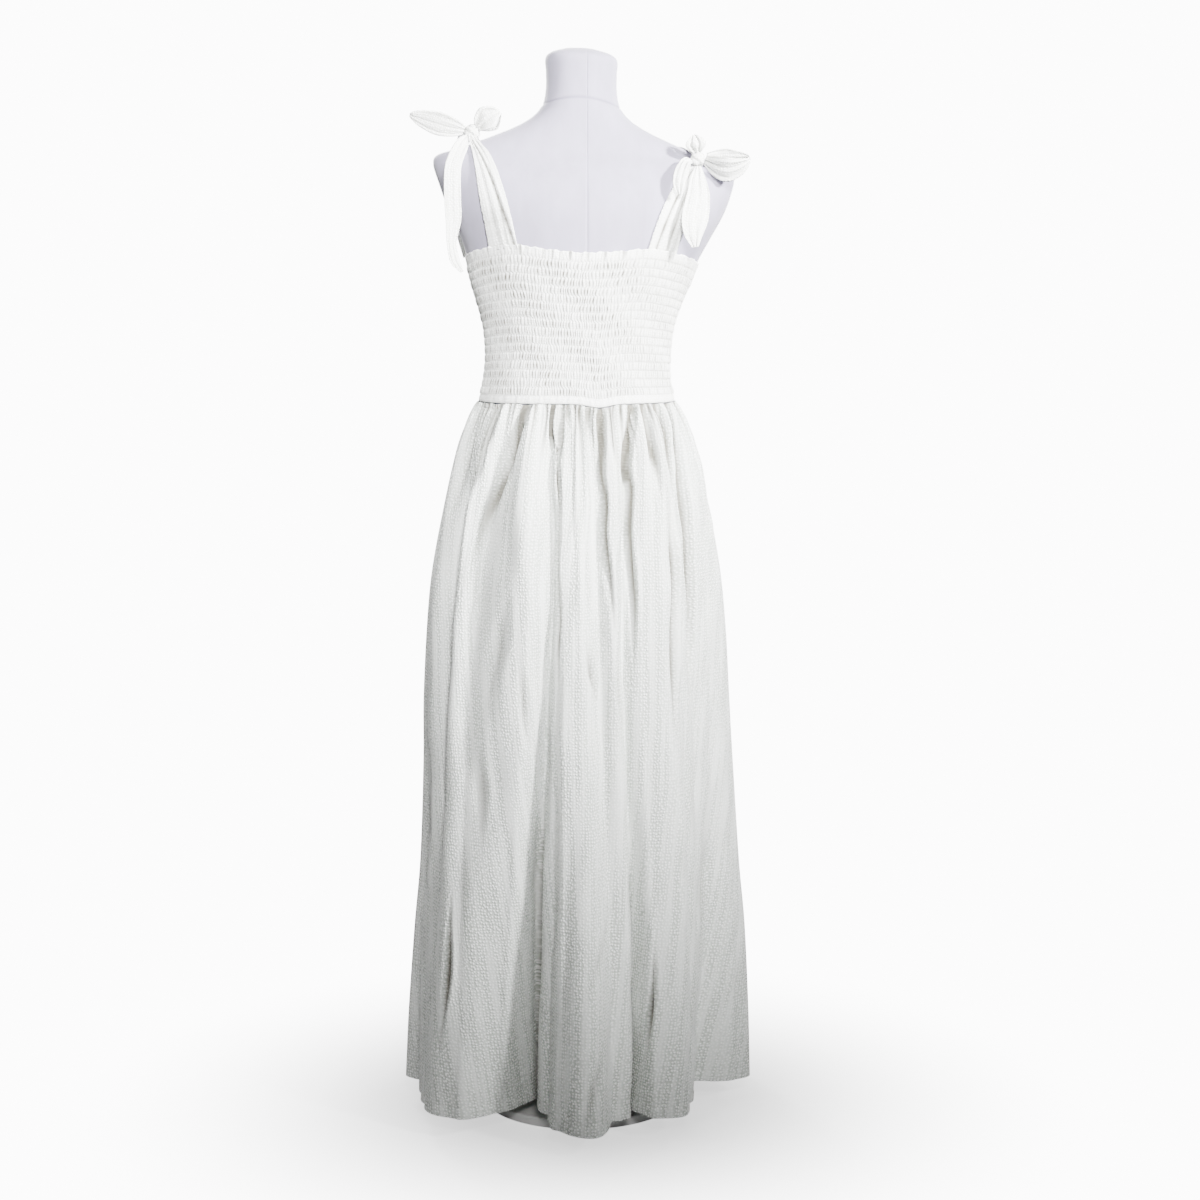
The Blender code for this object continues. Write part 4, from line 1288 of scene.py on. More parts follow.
BACK_CREASES = (
    Crease(((-36.5, 0.934), (-38, 0.907), (-39.7, 0.871), (-43.9, 0.835), (-47.2, 0.803), (-50, 0.74)), 8, 6),
    Crease(((-53.8, 0.93), (-53.3, 0.859)), 3.5, 4),
    Crease(((-58, 0.934), (-56, 0.861), (-59.3, 0.814), (-59.1, 0.764), (-59.6, 0.64)), 5, 6),
    Crease(((-66, 0.93), (-67, 0.86), (-68, 0.8)), 3, 5),
    Crease(((-16.8, 0.934), (-15.5, 0.899), (-11.5, 0.868), (-9.7, 0.832), (-9, 0.76), (-7.2, 0.59)), 4, 3),
    Crease(((-9.7, 0.932), (-9.4, 0.886), (-10.4, 0.862)), 4, 3.5),
    Crease(((-6.5, 0.934), (-5.9, 0.91)), 3, 3),
    Crease(((-0.5, 0.934), (0.8, 0.9)), 3, 3),
    Crease(((8.8, 0.93), (7.3, 0.88)), 4, 3.5),
    Crease(((17.6, 0.932), (15.7, 0.886), (14.1, 0.852), (14.9, 0.819), (13.8, 0.77), (16.8, 0.66)), 5.5, 4),
    Crease(((23.5, 0.93), (22.3, 0.897), (23.7, 0.855)), 4, 3.5),
    Crease(((38.6, 0.93), (33.1, 0.891), (30.1, 0.858), (30.6, 0.832), (26.8, 0.769), (25.6, 0.63)), 7, 4),
    Crease(((46.9, 0.934), (44.8, 0.902), (44.1, 0.86), (43, 0.82)), 6, 4),
    Crease(((50.5, 0.815), (47, 0.755), (43.5, 0.68), (41.5, 0.615), (41, 0.53)), 7.5, 5),
    Crease(((56, 0.934), (56.5, 0.88), (54, 0.82)), 6, 4.5),
    Crease(((66, 0.934), (64.5, 0.87), (61, 0.79), (57.8, 0.7), (53.2, 0.55)), 7, 5.5),
    Crease(((5, 0.64), (7, 0.6), (10, 0.565)), 4, 4),
    Crease(((-28, 0.7), (-33, 0.64), (-37, 0.56)), 4, 9),
    Crease(((-22, 0.62), (-19, 0.505)), 4, 5),
    Crease(((-40, 0.5), (-38, 0.4)), 4, 6),
    Crease(((-48.8, 0.3), (-48.1, 0.2), (-49.2, 0.13)), 6, 4),
    Crease(((28.6, 0.25), (27.4, 0.17), (27, 0.105)), 6, 4),
    Crease(((20.5, 0.64), (18.5, 0.54)), 3.5, 6),
    Crease(((12, 0.3), (4, 0.22), (-2, 0.19)), 2.5, 8),
    Crease(((8, 0.13), (3, 0.07), (1, 0.04)), 4, 8),
    Crease(((-12, 0.56), (-13.5, 0.4)), 3, 7),
    Crease(((-18, 0.43), (-22.6, 0.25), (-26.5, 0.1), (-30, -0.04)), 5.5, 11),
    Crease(((38, 0.56), (40, 0.4), (39, 0.25)), -3, 9),
    Crease(((-30, 0.87), (-24, 0.78), (-21, 0.7)), -4, 16),
    Crease(((68, 0.4), (70, 0.22)), 4, 9),
    Crease(((-75, 0.5), (-74, 0.3)), 4, 9),
)
FRONT_CREASES = (
    Crease(((-66, 0.934), (-64, 0.88), (-65, 0.8)), 4, 5),
    Crease(((-47, 0.934), (-49, 0.89), (-52, 0.82), (-53, 0.7)), 6, 5),
    Crease(((-36, 0.934), (-35, 0.88)), 4, 3.5),
    Crease(((-29, 0.934), (-25, 0.87), (-22, 0.78), (-20.5, 0.64)), 6, 4.5),
    Crease(((-14, 0.934), (-13, 0.89)), 3.5, 3.5),
    Crease(((-3, 0.934), (-4, 0.88), (-3, 0.84)), 4, 4),
    Crease(((6, 0.934), (7.5, 0.88), (8.5, 0.78), (9, 0.65)), 5, 4.5),
    Crease(((14.5, 0.934), (15, 0.895)), 3, 3.5),
    Crease(((24, 0.934), (26, 0.87), (26.5, 0.76)), 5, 4.5),
    Crease(((33, 0.934), (34, 0.88), (33, 0.84)), 3.5, 4),
    Crease(((52, 0.934), (56, 0.87), (58, 0.76), (58.5, 0.62)), 6, 5),
    Crease(((66, 0.934), (68, 0.88)), 3.5, 4),
    Crease(((-40, 0.6), (-38, 0.48)), 4, 7),
    Crease(((2, 0.56), (-1, 0.43)), 4, 6),
    Crease(((40, 0.52), (44, 0.4)), 4, 7),
    Crease(((-62, 0.3), (-61, 0.16)), 5, 5),
    Crease(((18, 0.28), (17, 0.14)), 5, 4),
    Crease(((-8, 0.12), (-4, 0.06)), 4, 8),
)


@dataclass
class Skirt:
    """The long skirt: two panels gathered into the waist seam, with a narrow turned hem."""

    bodice: Bodice
    hem: float = 0.030
    waist: float = 0.9344
    hip: float = 0.700
    # The folds' depths are given at the hem, at the hip and at these two heights
    knee: float = 0.420
    below_gathers: float = 0.840
    wall: float = 0.0010
    form_gap: float = 0.0008
    columns: int = 440
    trial_columns: int = 1600
    row_count: int = 106
    # Places of the closest rows, above the hem and below the waist
    hem_rows: tuple[float, ...] = (0.0, 0.0012, 0.004, 0.008, 0.0110, 0.0125, 0.0140)
    waist_rows: tuple[float, ...] = (0.0, 0.0012, 0.0035, 0.007, 0.012, 0.018)
    gather_height: float = 0.0028
    gather_at_seam: float = 0.0012
    gather_rise: float = 0.020
    gather_fade: float = 0.110
    gather_unevenness: float = 0.45
    gather_calm: float = 1.5
    gather_fullness: float = 1.75
    ticks: int = 40
    tick_depth: float = 0.0030
    tick_half_width: float = 0.0018
    tick_length: float = 0.040
    crease_fullness: float = 1.5
    crease_fade: float = 0.09
    # A crease's left and right flanks, in its half widths
    dip_widths: float = 1.2
    flank_widths: float = 2.6
    # How dark the painted shade is along a crease's right flank
    flank_shade: float = 0.5
    # The share of its width that a crease has at its tips, and of its depth in the lip right of it
    crease_tip: float = 0.35
    crease_lip: float = 0.2
    # The ratio of depth to half width from which a crease's painted shade is as dark as can be
    crease_sharpest: float = 1.5
    wave_height: float = 0.0007
    # The folds are fuller here than in the solids, whose walls are thicker
    top_fullness: float = 1.5
    hip_fullness: float = 1.7
    knee_fullness: float = 1.25
    valley_sharpness: float = 0.7
    dip_fade: float = 0.060
    # The relief grows from a share of itself at the waist seam to all of it
    waist_calm: float = 0.006
    waist_relief: float = 0.3
    hem_depth: float = 0.0125
    hem_raise: float = 0.0007
    hem_step: float = 0.0008
    stitch_depth: float = 0.0006
    stitch_half_width: float = 0.0012
    back_seed: float = 0.4
    front_seed: float = 2.9
    sections: tuple[SkirtSection, ...] = (
        SkirtSection(0.03, 0.231, 0.205, 0.2, 0, 2),
        SkirtSection(0.122, 0.2275, 0.2, 0.196, 0, 2),
        SkirtSection(0.241, 0.22, 0.193, 0.19, 0, 2),
        SkirtSection(0.326, 0.212, 0.187, 0.184, -0.001, 2),
        SkirtSection(0.465, 0.2045, 0.178, 0.176, -0.004, 2),
        SkirtSection(0.544, 0.2015, 0.172, 0.17, -0.006, 2.02),
        SkirtSection(0.635, 0.1965, 0.164, 0.162, -0.006, 2.04),
        SkirtSection(0.711, 0.189, 0.155, 0.153, -0.006, 2.07),
        SkirtSection(0.793, 0.1735, 0.139, 0.138, -0.006, 2.12),
        SkirtSection(0.876, 0.154, 0.119, 0.119, -0.006, 2.2),
        SkirtSection(0.912, 0.1405, 0.107, 0.1075, -0.0055, 2.25),
        SkirtSection(0.9345, 0.129, 0.0972, 0.0972, -0.005, 2.25),
    )

    def fold_lines(self, folds: Sequence[Fold], heights: np.ndarray) -> tuple[np.ndarray, np.ndarray]:
        """Where the fold lines run at some heights.

        Args:
            folds: The fold lines.
            heights: The rows' heights.

        Returns:
            Each line's angle in radians and its stand-off, by row and line.
        """
        turn_heights = (self.hem, self.hip, self.bodice.waist)
        depth_heights = (self.hem, self.knee, self.hip, self.below_gathers, self.bodice.waist)
        angles = []
        offsets = []
        for fold in folds:
            turns = (fold.hem_deg, fold.hip_deg, fold.waist_deg)
            depths = (
                fold.hem_mm,
                fold.knee_mm * self.knee_fullness,
                fold.hip_mm * self.hip_fullness,
                fold.top_mm * self.top_fullness,
                0.0,
            )
            angles.append(np.radians(smooth_curve(turn_heights, turns, heights)))
            offsets.append(smooth_curve(depth_heights, depths, heights) * MM)
        return np.stack(angles, axis=1), np.stack(offsets, axis=1)

    def gather_wave(self, places: np.ndarray, heights: np.ndarray, seed: float) -> np.ndarray:
        """Find how far the waist gathers stand off.

        Args:
            places: The columns' places, counted in gathers.
            heights: The rows' heights.
            seed: What makes the two halves differ.

        Returns:
            A distance for each row and column.
        """
        index = np.floor(places + 0.5)
        below = np.maximum(self.bodice.waist - heights, 0.0)[:, None]
        stand = self.gather_height * (1 + self.gather_unevenness * uneven(index, seed))
        fade = self.gather_fade * (1 + self.gather_unevenness * uneven(index, seed + 5.0))
        rise = 1 - np.exp(-below / self.gather_rise)
        size = (self.gather_at_seam + stand[None, :] * rise) * np.exp(-below / fade[None, :])
        return size * np.cos(math.tau * places)[None, :]

    def surface(
        self, half: Half, folds: Sequence[Fold], places: np.ndarray, heights: np.ndarray
    ) -> tuple[np.ndarray, np.ndarray]:
        """Points on the skirt's outside.

        Args:
            half: The half.
            folds: Its fold lines.
            places: The columns' places, counted in gathers from the left seam.
            heights: The rows' heights.

        Returns:
            The points by row and column, and each one's angle in radians.
        """
        starts = np.concatenate([[0], np.cumsum([fold.gathers for fold in folds])])[:-1]
        total = float(starts[-1])
        left = np.clip(np.searchsorted(starts, places, side="right") - 1, 0, len(folds) - 2)
        share = (places - starts[left]) / (starts[left + 1] - starts[left])
        angles, offsets = self.fold_lines(folds, heights)
        angle = angles[:, left] * (1 - share) + angles[:, left + 1] * share
        # A fold is sharper in its valley than on its crest
        rises = offsets[:, left] < offsets[:, left + 1]
        from_left = (1 - np.cos(math.pi * share**self.valley_sharpness)) / 2
        from_right = (1 + np.cos(math.pi * (1 - share) ** self.valley_sharpness)) / 2
        ease = np.where(rises, from_left, from_right)
        offset = offsets[:, left] * (1 - ease) + offsets[:, left + 1] * ease
        section = rows_at(self.sections, heights)
        depth = section.back_depth if half is Half.BACK else section.front_depth
        square = section.squareness[:, None]
        across = (np.abs(np.sin(angle)) / section.half_width[:, None]) ** square
        along = (np.abs(np.cos(angle)) / depth[:, None]) ** square
        calm = np.minimum(np.minimum(places, total - places) / self.gather_calm, 1.0)
        wave = self.gather_wave(places, heights, 1.0 if half is Half.BACK else 4.0)
        radius = (across + along) ** (-1 / square) + offset + calm[None, :] * wave
        x = section.shift_x[:, None] + radius * np.sin(angle + half.turn)
        y = SIDE_SEAM_Y - radius * np.cos(angle + half.turn)
        near_waist = np.clip(1 - (self.bodice.waist - heights) / self.dip_fade, 0.0, 1.0)[:, None]
        drop = (self.bodice.waist - self.bodice.waist_height(angle, half)) * near_waist
        z = heights[:, None] - drop
        return np.stack([x, y, z], axis=-1), angle

    def crease_depths(
        self, creases: Sequence[Crease], points: np.ndarray, angle: np.ndarray, heights: np.ndarray
    ) -> tuple[np.ndarray, np.ndarray]:
        """How far the listed creases move each point along its normal.

        Args:
            creases: The creases.
            points: The skirt's points.
            angle: Each point's angle in radians.
            heights: The rows' heights.

        Returns:
            A distance for each point, below 0 in a trough, and the painted shade of each point in a sharp
            crease.
        """
        along = along_rows(points)
        moved = np.zeros(angle.shape)
        painted_shade = np.zeros(angle.shape)
        for crease in creases:
            stops = sorted((height, math.radians(degrees)) for degrees, height in crease.stops)
            low = stops[0][0]
            high = stops[-1][0]
            line = smooth_curve([stop[0] for stop in stops], [stop[1] for stop in stops], heights)
            middle = np.array([np.interp(turn, row, s) for turn, row, s in zip(line, angle, along)])
            fade = min(0.55 * (high - low), self.crease_fade)
            inside = smooth_step(low - fade * 0.3, low + fade, heights)
            # A crease that starts at the waist seam is full there
            if high < self.waist - 0.01:
                inside = inside * (1 - smooth_step(high - fade, high + fade * 0.3, heights))
            width = crease.half_width_mm * MM * (self.crease_tip + (1 - self.crease_tip) * inside)
            away = (along - middle[:, None]) / width[:, None]
            # The cloth dips in softly from the left, and comes straight out to an edge on the right
            flank = np.clip(1 - away / self.flank_widths, 0.0, 1.0)
            trough = np.where(away < 0, np.exp(-((away / self.dip_widths) ** 2)), flank)
            trough = trough - self.crease_lip * np.exp(-((away - self.flank_widths) ** 2))
            moved -= self.crease_fullness * crease.depth_mm * MM * inside[:, None] * trough
            # Painted shade: darker for a steeper crease, in its trough and along its right flank
            steepness = crease.depth_mm / crease.half_width_mm / self.crease_sharpest
            sharp = float(np.clip(steepness, 0.0, 1.0))
            shade = np.exp(-((1.1 * away) ** 2)) + self.flank_shade * flank * (away > 0)
            painted_shade = np.maximum(painted_shade, sharp * inside[:, None] * np.minimum(shade, 1.0))
        return moved, painted_shade

    def soft_waves(self, along: np.ndarray, heights: np.ndarray, seed: float) -> np.ndarray:
        """Find the slight unevenness of hanging cloth, long down the skirt and short across it.

        Args:
            along: Each point's distance along its row.
            heights: The rows' heights.
            seed: What makes the two halves differ.

        Returns:
            A distance for each point.
        """
        z = heights[:, None]
        below_gathers = 1 - smooth_step(0.80, 0.92, z)
        # Waves of about 7, 11 and 4 cm across, and of 9 cm down
        wave = np.sin(along * 95.0 + 9.0 * np.sin(z * 5.0 + seed) + seed)
        wave = wave + 0.8 * np.sin(along * 57.0 - z * 11.0 + 2.1 * seed)
        wave = wave + 0.6 * np.sin(along * 171.0 + 14.0 * np.sin(z * 3.1 - seed))
        wave = wave + 0.35 * np.sin(z * 70.0 + along * 43.0 + seed)
        return self.wave_height * below_gathers * wave

    def seam_ticks(
        self, along: np.ndarray, heights: np.ndarray, seed: float
    ) -> tuple[np.ndarray, np.ndarray]:
        """Find the short sharp creases between the gathers, right under the waist seam.

        Args:
            along: Each point's distance along its row.
            heights: The rows' heights.
            seed: What makes the two halves differ.

        Returns:
            How far they move each point along its normal, and the painted shade of each point in one of them.
        """
        below = (self.waist - heights)[:, None]
        width = along[:, -1:]
        depth = np.zeros(along.shape)
        painted_shade = np.zeros(along.shape)
        index = np.arange(self.ticks)
        places = (index + 0.5 + 0.48 * uneven(index * 1.7, seed)) / self.ticks
        sizes = 1 + 0.6 * uneven(index * 2.3, seed + 1.0)
        lengths = self.tick_length * (1 + 0.7 * uneven(index * 3.1, seed + 2.0))
        leans = 0.05 * uneven(index * 1.3, seed + 3.0)
        for place, size, length, lean in zip(places, sizes, lengths, leans):
            away = (along - place * width - lean * below) / self.tick_half_width
            fade = size * np.exp(-below / length)
            line = np.exp(-(away**2))
            depth += self.tick_depth * fade * (line - 0.35 * np.exp(-((np.abs(away) - 2.0) ** 2)))
            # Painted shade along each tick
            painted_shade = np.maximum(painted_shade, 1.15 * fade * line)
        return -depth, painted_shade

    def build_half(
        self, half: Half, folds: Sequence[Fold], creases: Sequence[Crease], cotton: bpy.types.Material
    ) -> None:
        """Make one panel of the skirt.

        Args:
            half: The half.
            folds: Its fold lines.
            creases: Its listed creases.
            cotton: Its cloth.
        """
        total = float(sum(fold.gathers for fold in folds))
        hem_rows = self.hem + np.array(self.hem_rows)
        waist_rows = self.waist - np.array(self.waist_rows)
        even = np.linspace(hem_rows[-1], waist_rows[-1], self.row_count - len(hem_rows) - len(waist_rows) + 2)
        heights = np.concatenate([waist_rows, even[::-1][1:-1], hem_rows[::-1]])
        # The columns are spaced half by the gathers, and half by the hem's run
        trial = np.linspace(0.0, total, self.trial_columns + 1)
        hem_line, _ = self.surface(half, folds, trial, np.array([self.hem]))
        hem_along = along_rows(hem_line)[0]
        evened = 0.5 * hem_along / hem_along[-1] + 0.5 * trial / total
        places = np.interp(np.linspace(0.0, 1.0, self.columns + 1), evened, trial)
        points, angle = self.surface(half, folds, places, heights)
        seed = self.back_seed if half is Half.BACK else self.front_seed
        calm = smooth_step(0.0, 1.0, np.minimum(places, total - places))[None, :]
        along = along_rows(points)
        moved, painted_shade = self.crease_depths(creases, points, angle, heights)
        ticks, tick_painted_shade = self.seam_ticks(along, heights, seed)
        moved += self.soft_waves(along, heights, seed) + ticks
        # Painted shade in the creases and the ticks, held off at the side seams
        painted_shade = np.maximum(1.1 * painted_shade, tick_painted_shade) * calm
        rise = smooth_step(0.0, self.waist_calm, self.waist - heights)[:, None]
        moved *= (self.waist_relief + (1 - self.waist_relief) * rise) * calm
        # The hem is turned up and stitched, so it is thicker than the cloth above it
        above_stitch = heights - self.hem - self.hem_depth
        turned = self.hem_raise * (1 - smooth_step(-self.hem_step, self.hem_step, above_stitch))
        stitch = -self.stitch_depth * np.exp(-((above_stitch / self.stitch_half_width) ** 2))
        moved += (turned + stitch)[:, None] * calm
        moved[0] -= ALLOWANCE_TURN
        points = points + grid_normals(points) * moved[..., None]
        points = self.bodice.form.held_off(points, self.wall + self.form_gap)
        points[:, [0, -1], 1] = SIDE_SEAM_Y
        points[..., 1] += half.outward * SEAM_GAP / 2
        width = float(hem_along[-1])
        length = self.waist - self.hem
        # The panel is cut wider at the hem, and its top edge is gathered to a part of its width
        waist_cut = self.gather_fullness * float(along[0, -1])
        cut = width + (waist_cut - width) * (heights - self.hem) / length
        across = (along / along[:, -1:] - 0.5) * cut[:, None] + width / 2
        uv = np.stack(np.broadcast_arrays(across, heights[:, None] - self.hem), axis=-1)
        piece = lay_sheet(f"skirt_panel_{half.value}", points, uv, painted_shade)
        apply_modifier(piece, "SOLIDIFY", thickness=self.wall, offset=-1.0)
        piece.data.materials.append(cotton)
        hand_over(piece, Slot.COTTON, f"skirt_{half.value}")

    def build(self, cotton: bpy.types.Material) -> None:
        """Make both panels from a cloth."""
        self.build_half(Half.BACK, BACK_FOLDS, BACK_CREASES, cotton)
        self.build_half(Half.FRONT, FRONT_FOLDS, FRONT_CREASES, cotton)


class Pleat(NamedTuple):
    """A fold along a tie: its place across at the start and the end, from -1 to 1, depth and half width."""

    start: float
    end: float
    depth_mm: float
    half_width: float


class Knot(NamedTuple):
    """The knot of a shoulder bow."""

    centre: Triple
    radius: float


KNOTS = {
    Side.LEFT: Knot((-0.1370, -0.0170, 1.2760), 0.0105),
    Side.RIGHT: Knot((0.1486, -0.0570, 1.2400), 0.0095),
}
KNOT_EASE = 0.0005


class Strap(NamedTuple):
    """A tie strap, from the bodice's top edge to its knot."""

    side: Side
    half: Half
    base_x: float
    base_half_width: float
    low_half_width: float
    high_half_width: float
    top_x: float
    climb: float
    arrival: Triple
    pleats: tuple[Pleat, ...]


class Loop(NamedTuple):
    """A loop of a bow: the way it points, the way it opens, and its size."""

    side: Side
    place: str
    out: Triple
    opens: Triple
    length: float
    half_gap: float
    half_width: float
    sag: float
    crinkle_mm: float


class Stop(NamedTuple):
    """A point on the middle line of a hanging tie end, and half its width there."""

    x: float
    y: float
    z: float
    half_width: float


class TieEnd(NamedTuple):
    """A hanging end of a tie: the way it leaves its knot, the way its face looks, and its stops."""

    side: Side
    place: str
    leaves: Triple
    faces: Triple
    crinkle_mm: float
    stops: tuple[Stop, ...]


STRAPS = (
    Strap(
        Side.LEFT, Half.BACK, -0.0935, 0.0182, 0.0158, 0.0100, -0.1350, 0.86, (0.10, -0.86, -0.50),
        (Pleat(0.78, -0.35, 2.6, 0.12), Pleat(-0.15, -0.7, 0.9, 0.14), Pleat(0.30, 0.45, 0.9, 0.12)),
    ),
    Strap(
        Side.LEFT, Half.FRONT, -0.0950, 0.0180, 0.0135, 0.0105, -0.1340, 0.86, (0.20, 0.88, -0.42),
        (Pleat(0.5, 0.1, 1.3, 0.12), Pleat(-0.4, -0.5, 1.0, 0.14)),
    ),
    Strap(
        Side.RIGHT, Half.BACK, 0.1010, 0.0175, 0.0160, 0.0110, 0.1460, 0.66, (-0.30, -0.05, -0.93),
        (Pleat(-0.45, -0.1, 1.3, 0.12), Pleat(0.3, 0.4, 1.0, 0.14), Pleat(0.75, 0.7, 0.7, 0.1)),
    ),
    Strap(
        Side.RIGHT, Half.FRONT, 0.0950, 0.0180, 0.0135, 0.0105, 0.1440, 1.15, (-0.10, 0.88, 0.46),
        (Pleat(-0.5, -0.1, 1.3, 0.12), Pleat(0.4, 0.5, 1.0, 0.14)),
    ),
)
LOOPS = (
    Loop(Side.LEFT, "outer", (-0.955, -0.06, 0.27), (0.0, 0.9, 0.42), 0.071, 0.0085, 0.0125, 0.001, 0.7),
    Loop(Side.LEFT, "inner", (0.80, -0.20, 0.56), (0.15, 1.0, 0.0), 0.033, 0.0085, 0.0160, -0.002, 2.4),
    Loop(Side.RIGHT, "outer", (0.985, -0.10, 0.00), (0.05, 0.80, 0.60), 0.055, 0.0100, 0.0178, 0.007, 1.4),
    Loop(Side.RIGHT, "upper", (-0.15, -0.05, 0.985), (0.10, 1.0, 0.10), 0.020, 0.0075, 0.0125, 0.0, 2.2),
)
# Places along a loop's band to its tip, in shares of its length, half its gap and half its width
LOOP_WAY_OUT = (
    (0.00, 0.30, 0.40),
    (0.20, 0.75, 0.78),
    (0.48, 1.00, 1.00),
    (0.78, 0.80, 0.72),
    (0.95, 0.45, 0.36),
    (1.00, 0.00, 0.20),
)
LOOP_PROFILE = LOOP_WAY_OUT + tuple((far, -gap, wide) for far, gap, wide in LOOP_WAY_OUT[-2::-1])
TIE_ENDS = (
    TieEnd(
        Side.LEFT, "long", (-0.45, -0.72, -0.53), (0.10, -1.0, 0.0), 0.5,
        (
            Stop(-0.149, -0.04, 1.26, 0.0085),
            Stop(-0.1585, -0.066, 1.232, 0.0102),
            Stop(-0.1595, -0.0725, 1.198, 0.0105),
            Stop(-0.1585, -0.073, 1.166, 0.0098),
            Stop(-0.161, -0.073, 1.136, 0.006),
            Stop(-0.157, -0.073, 1.114, 0.006),
            Stop(-0.148, -0.074, 1.1, 0.002),
        ),
    ),
    TieEnd(
        Side.LEFT, "front", (-0.30, 0.75, 0.30), (0.0, 0.6, 0.8), 0.5,
        (
            Stop(-0.149, 0.012, 1.28, 0.006),
            Stop(-0.154, 0.05, 1.25, 0.009),
            Stop(-0.156, 0.08, 1.205, 0.0105),
            Stop(-0.155, 0.093, 1.155, 0.01),
            Stop(-0.152, 0.098, 1.12, 0.004),
        ),
    ),
    TieEnd(
        Side.RIGHT, "short", (-0.88, -0.40, -0.10), (-0.2, -1.0, 0.2), 0.9,
        (
            Stop(0.133, -0.07, 1.236, 0.0072),
            Stop(0.1275, -0.088, 1.224, 0.0092),
            Stop(0.124, -0.096, 1.208, 0.0078),
            Stop(0.1245, -0.098, 1.195, 0.003),
        ),
    ),
    TieEnd(
        Side.RIGHT, "long", (0.02, -0.52, -0.85), (0.0, -1.0, -0.1), 0.7,
        (
            Stop(0.148, -0.072, 1.215, 0.01),
            Stop(0.148, -0.084, 1.194, 0.0145),
            Stop(0.144, -0.093, 1.168, 0.0168),
            Stop(0.142, -0.097, 1.149, 0.013),
            Stop(0.144, -0.099, 1.13, 0.004),
        ),
    ),
)


def knot_surface(
    side: Side, direction: Sequence[float], beside: float = 0.0
) -> tuple[np.ndarray, np.ndarray]:
    """Find the place just off a knot's surface.

    Args:
        side: The knot's shoulder.
        direction: The way from the knot's centre.
        beside: How far from that line the cloth leaves the knot.

    Returns:
        The place, and the direction at length 1.
    """
    knot = KNOTS[side]
    unit = normalised(np.asarray(direction, dtype=float))
    reach = math.sqrt(knot.radius**2 - beside**2) + KNOT_EASE
    return np.asarray(knot.centre) + unit * reach, unit


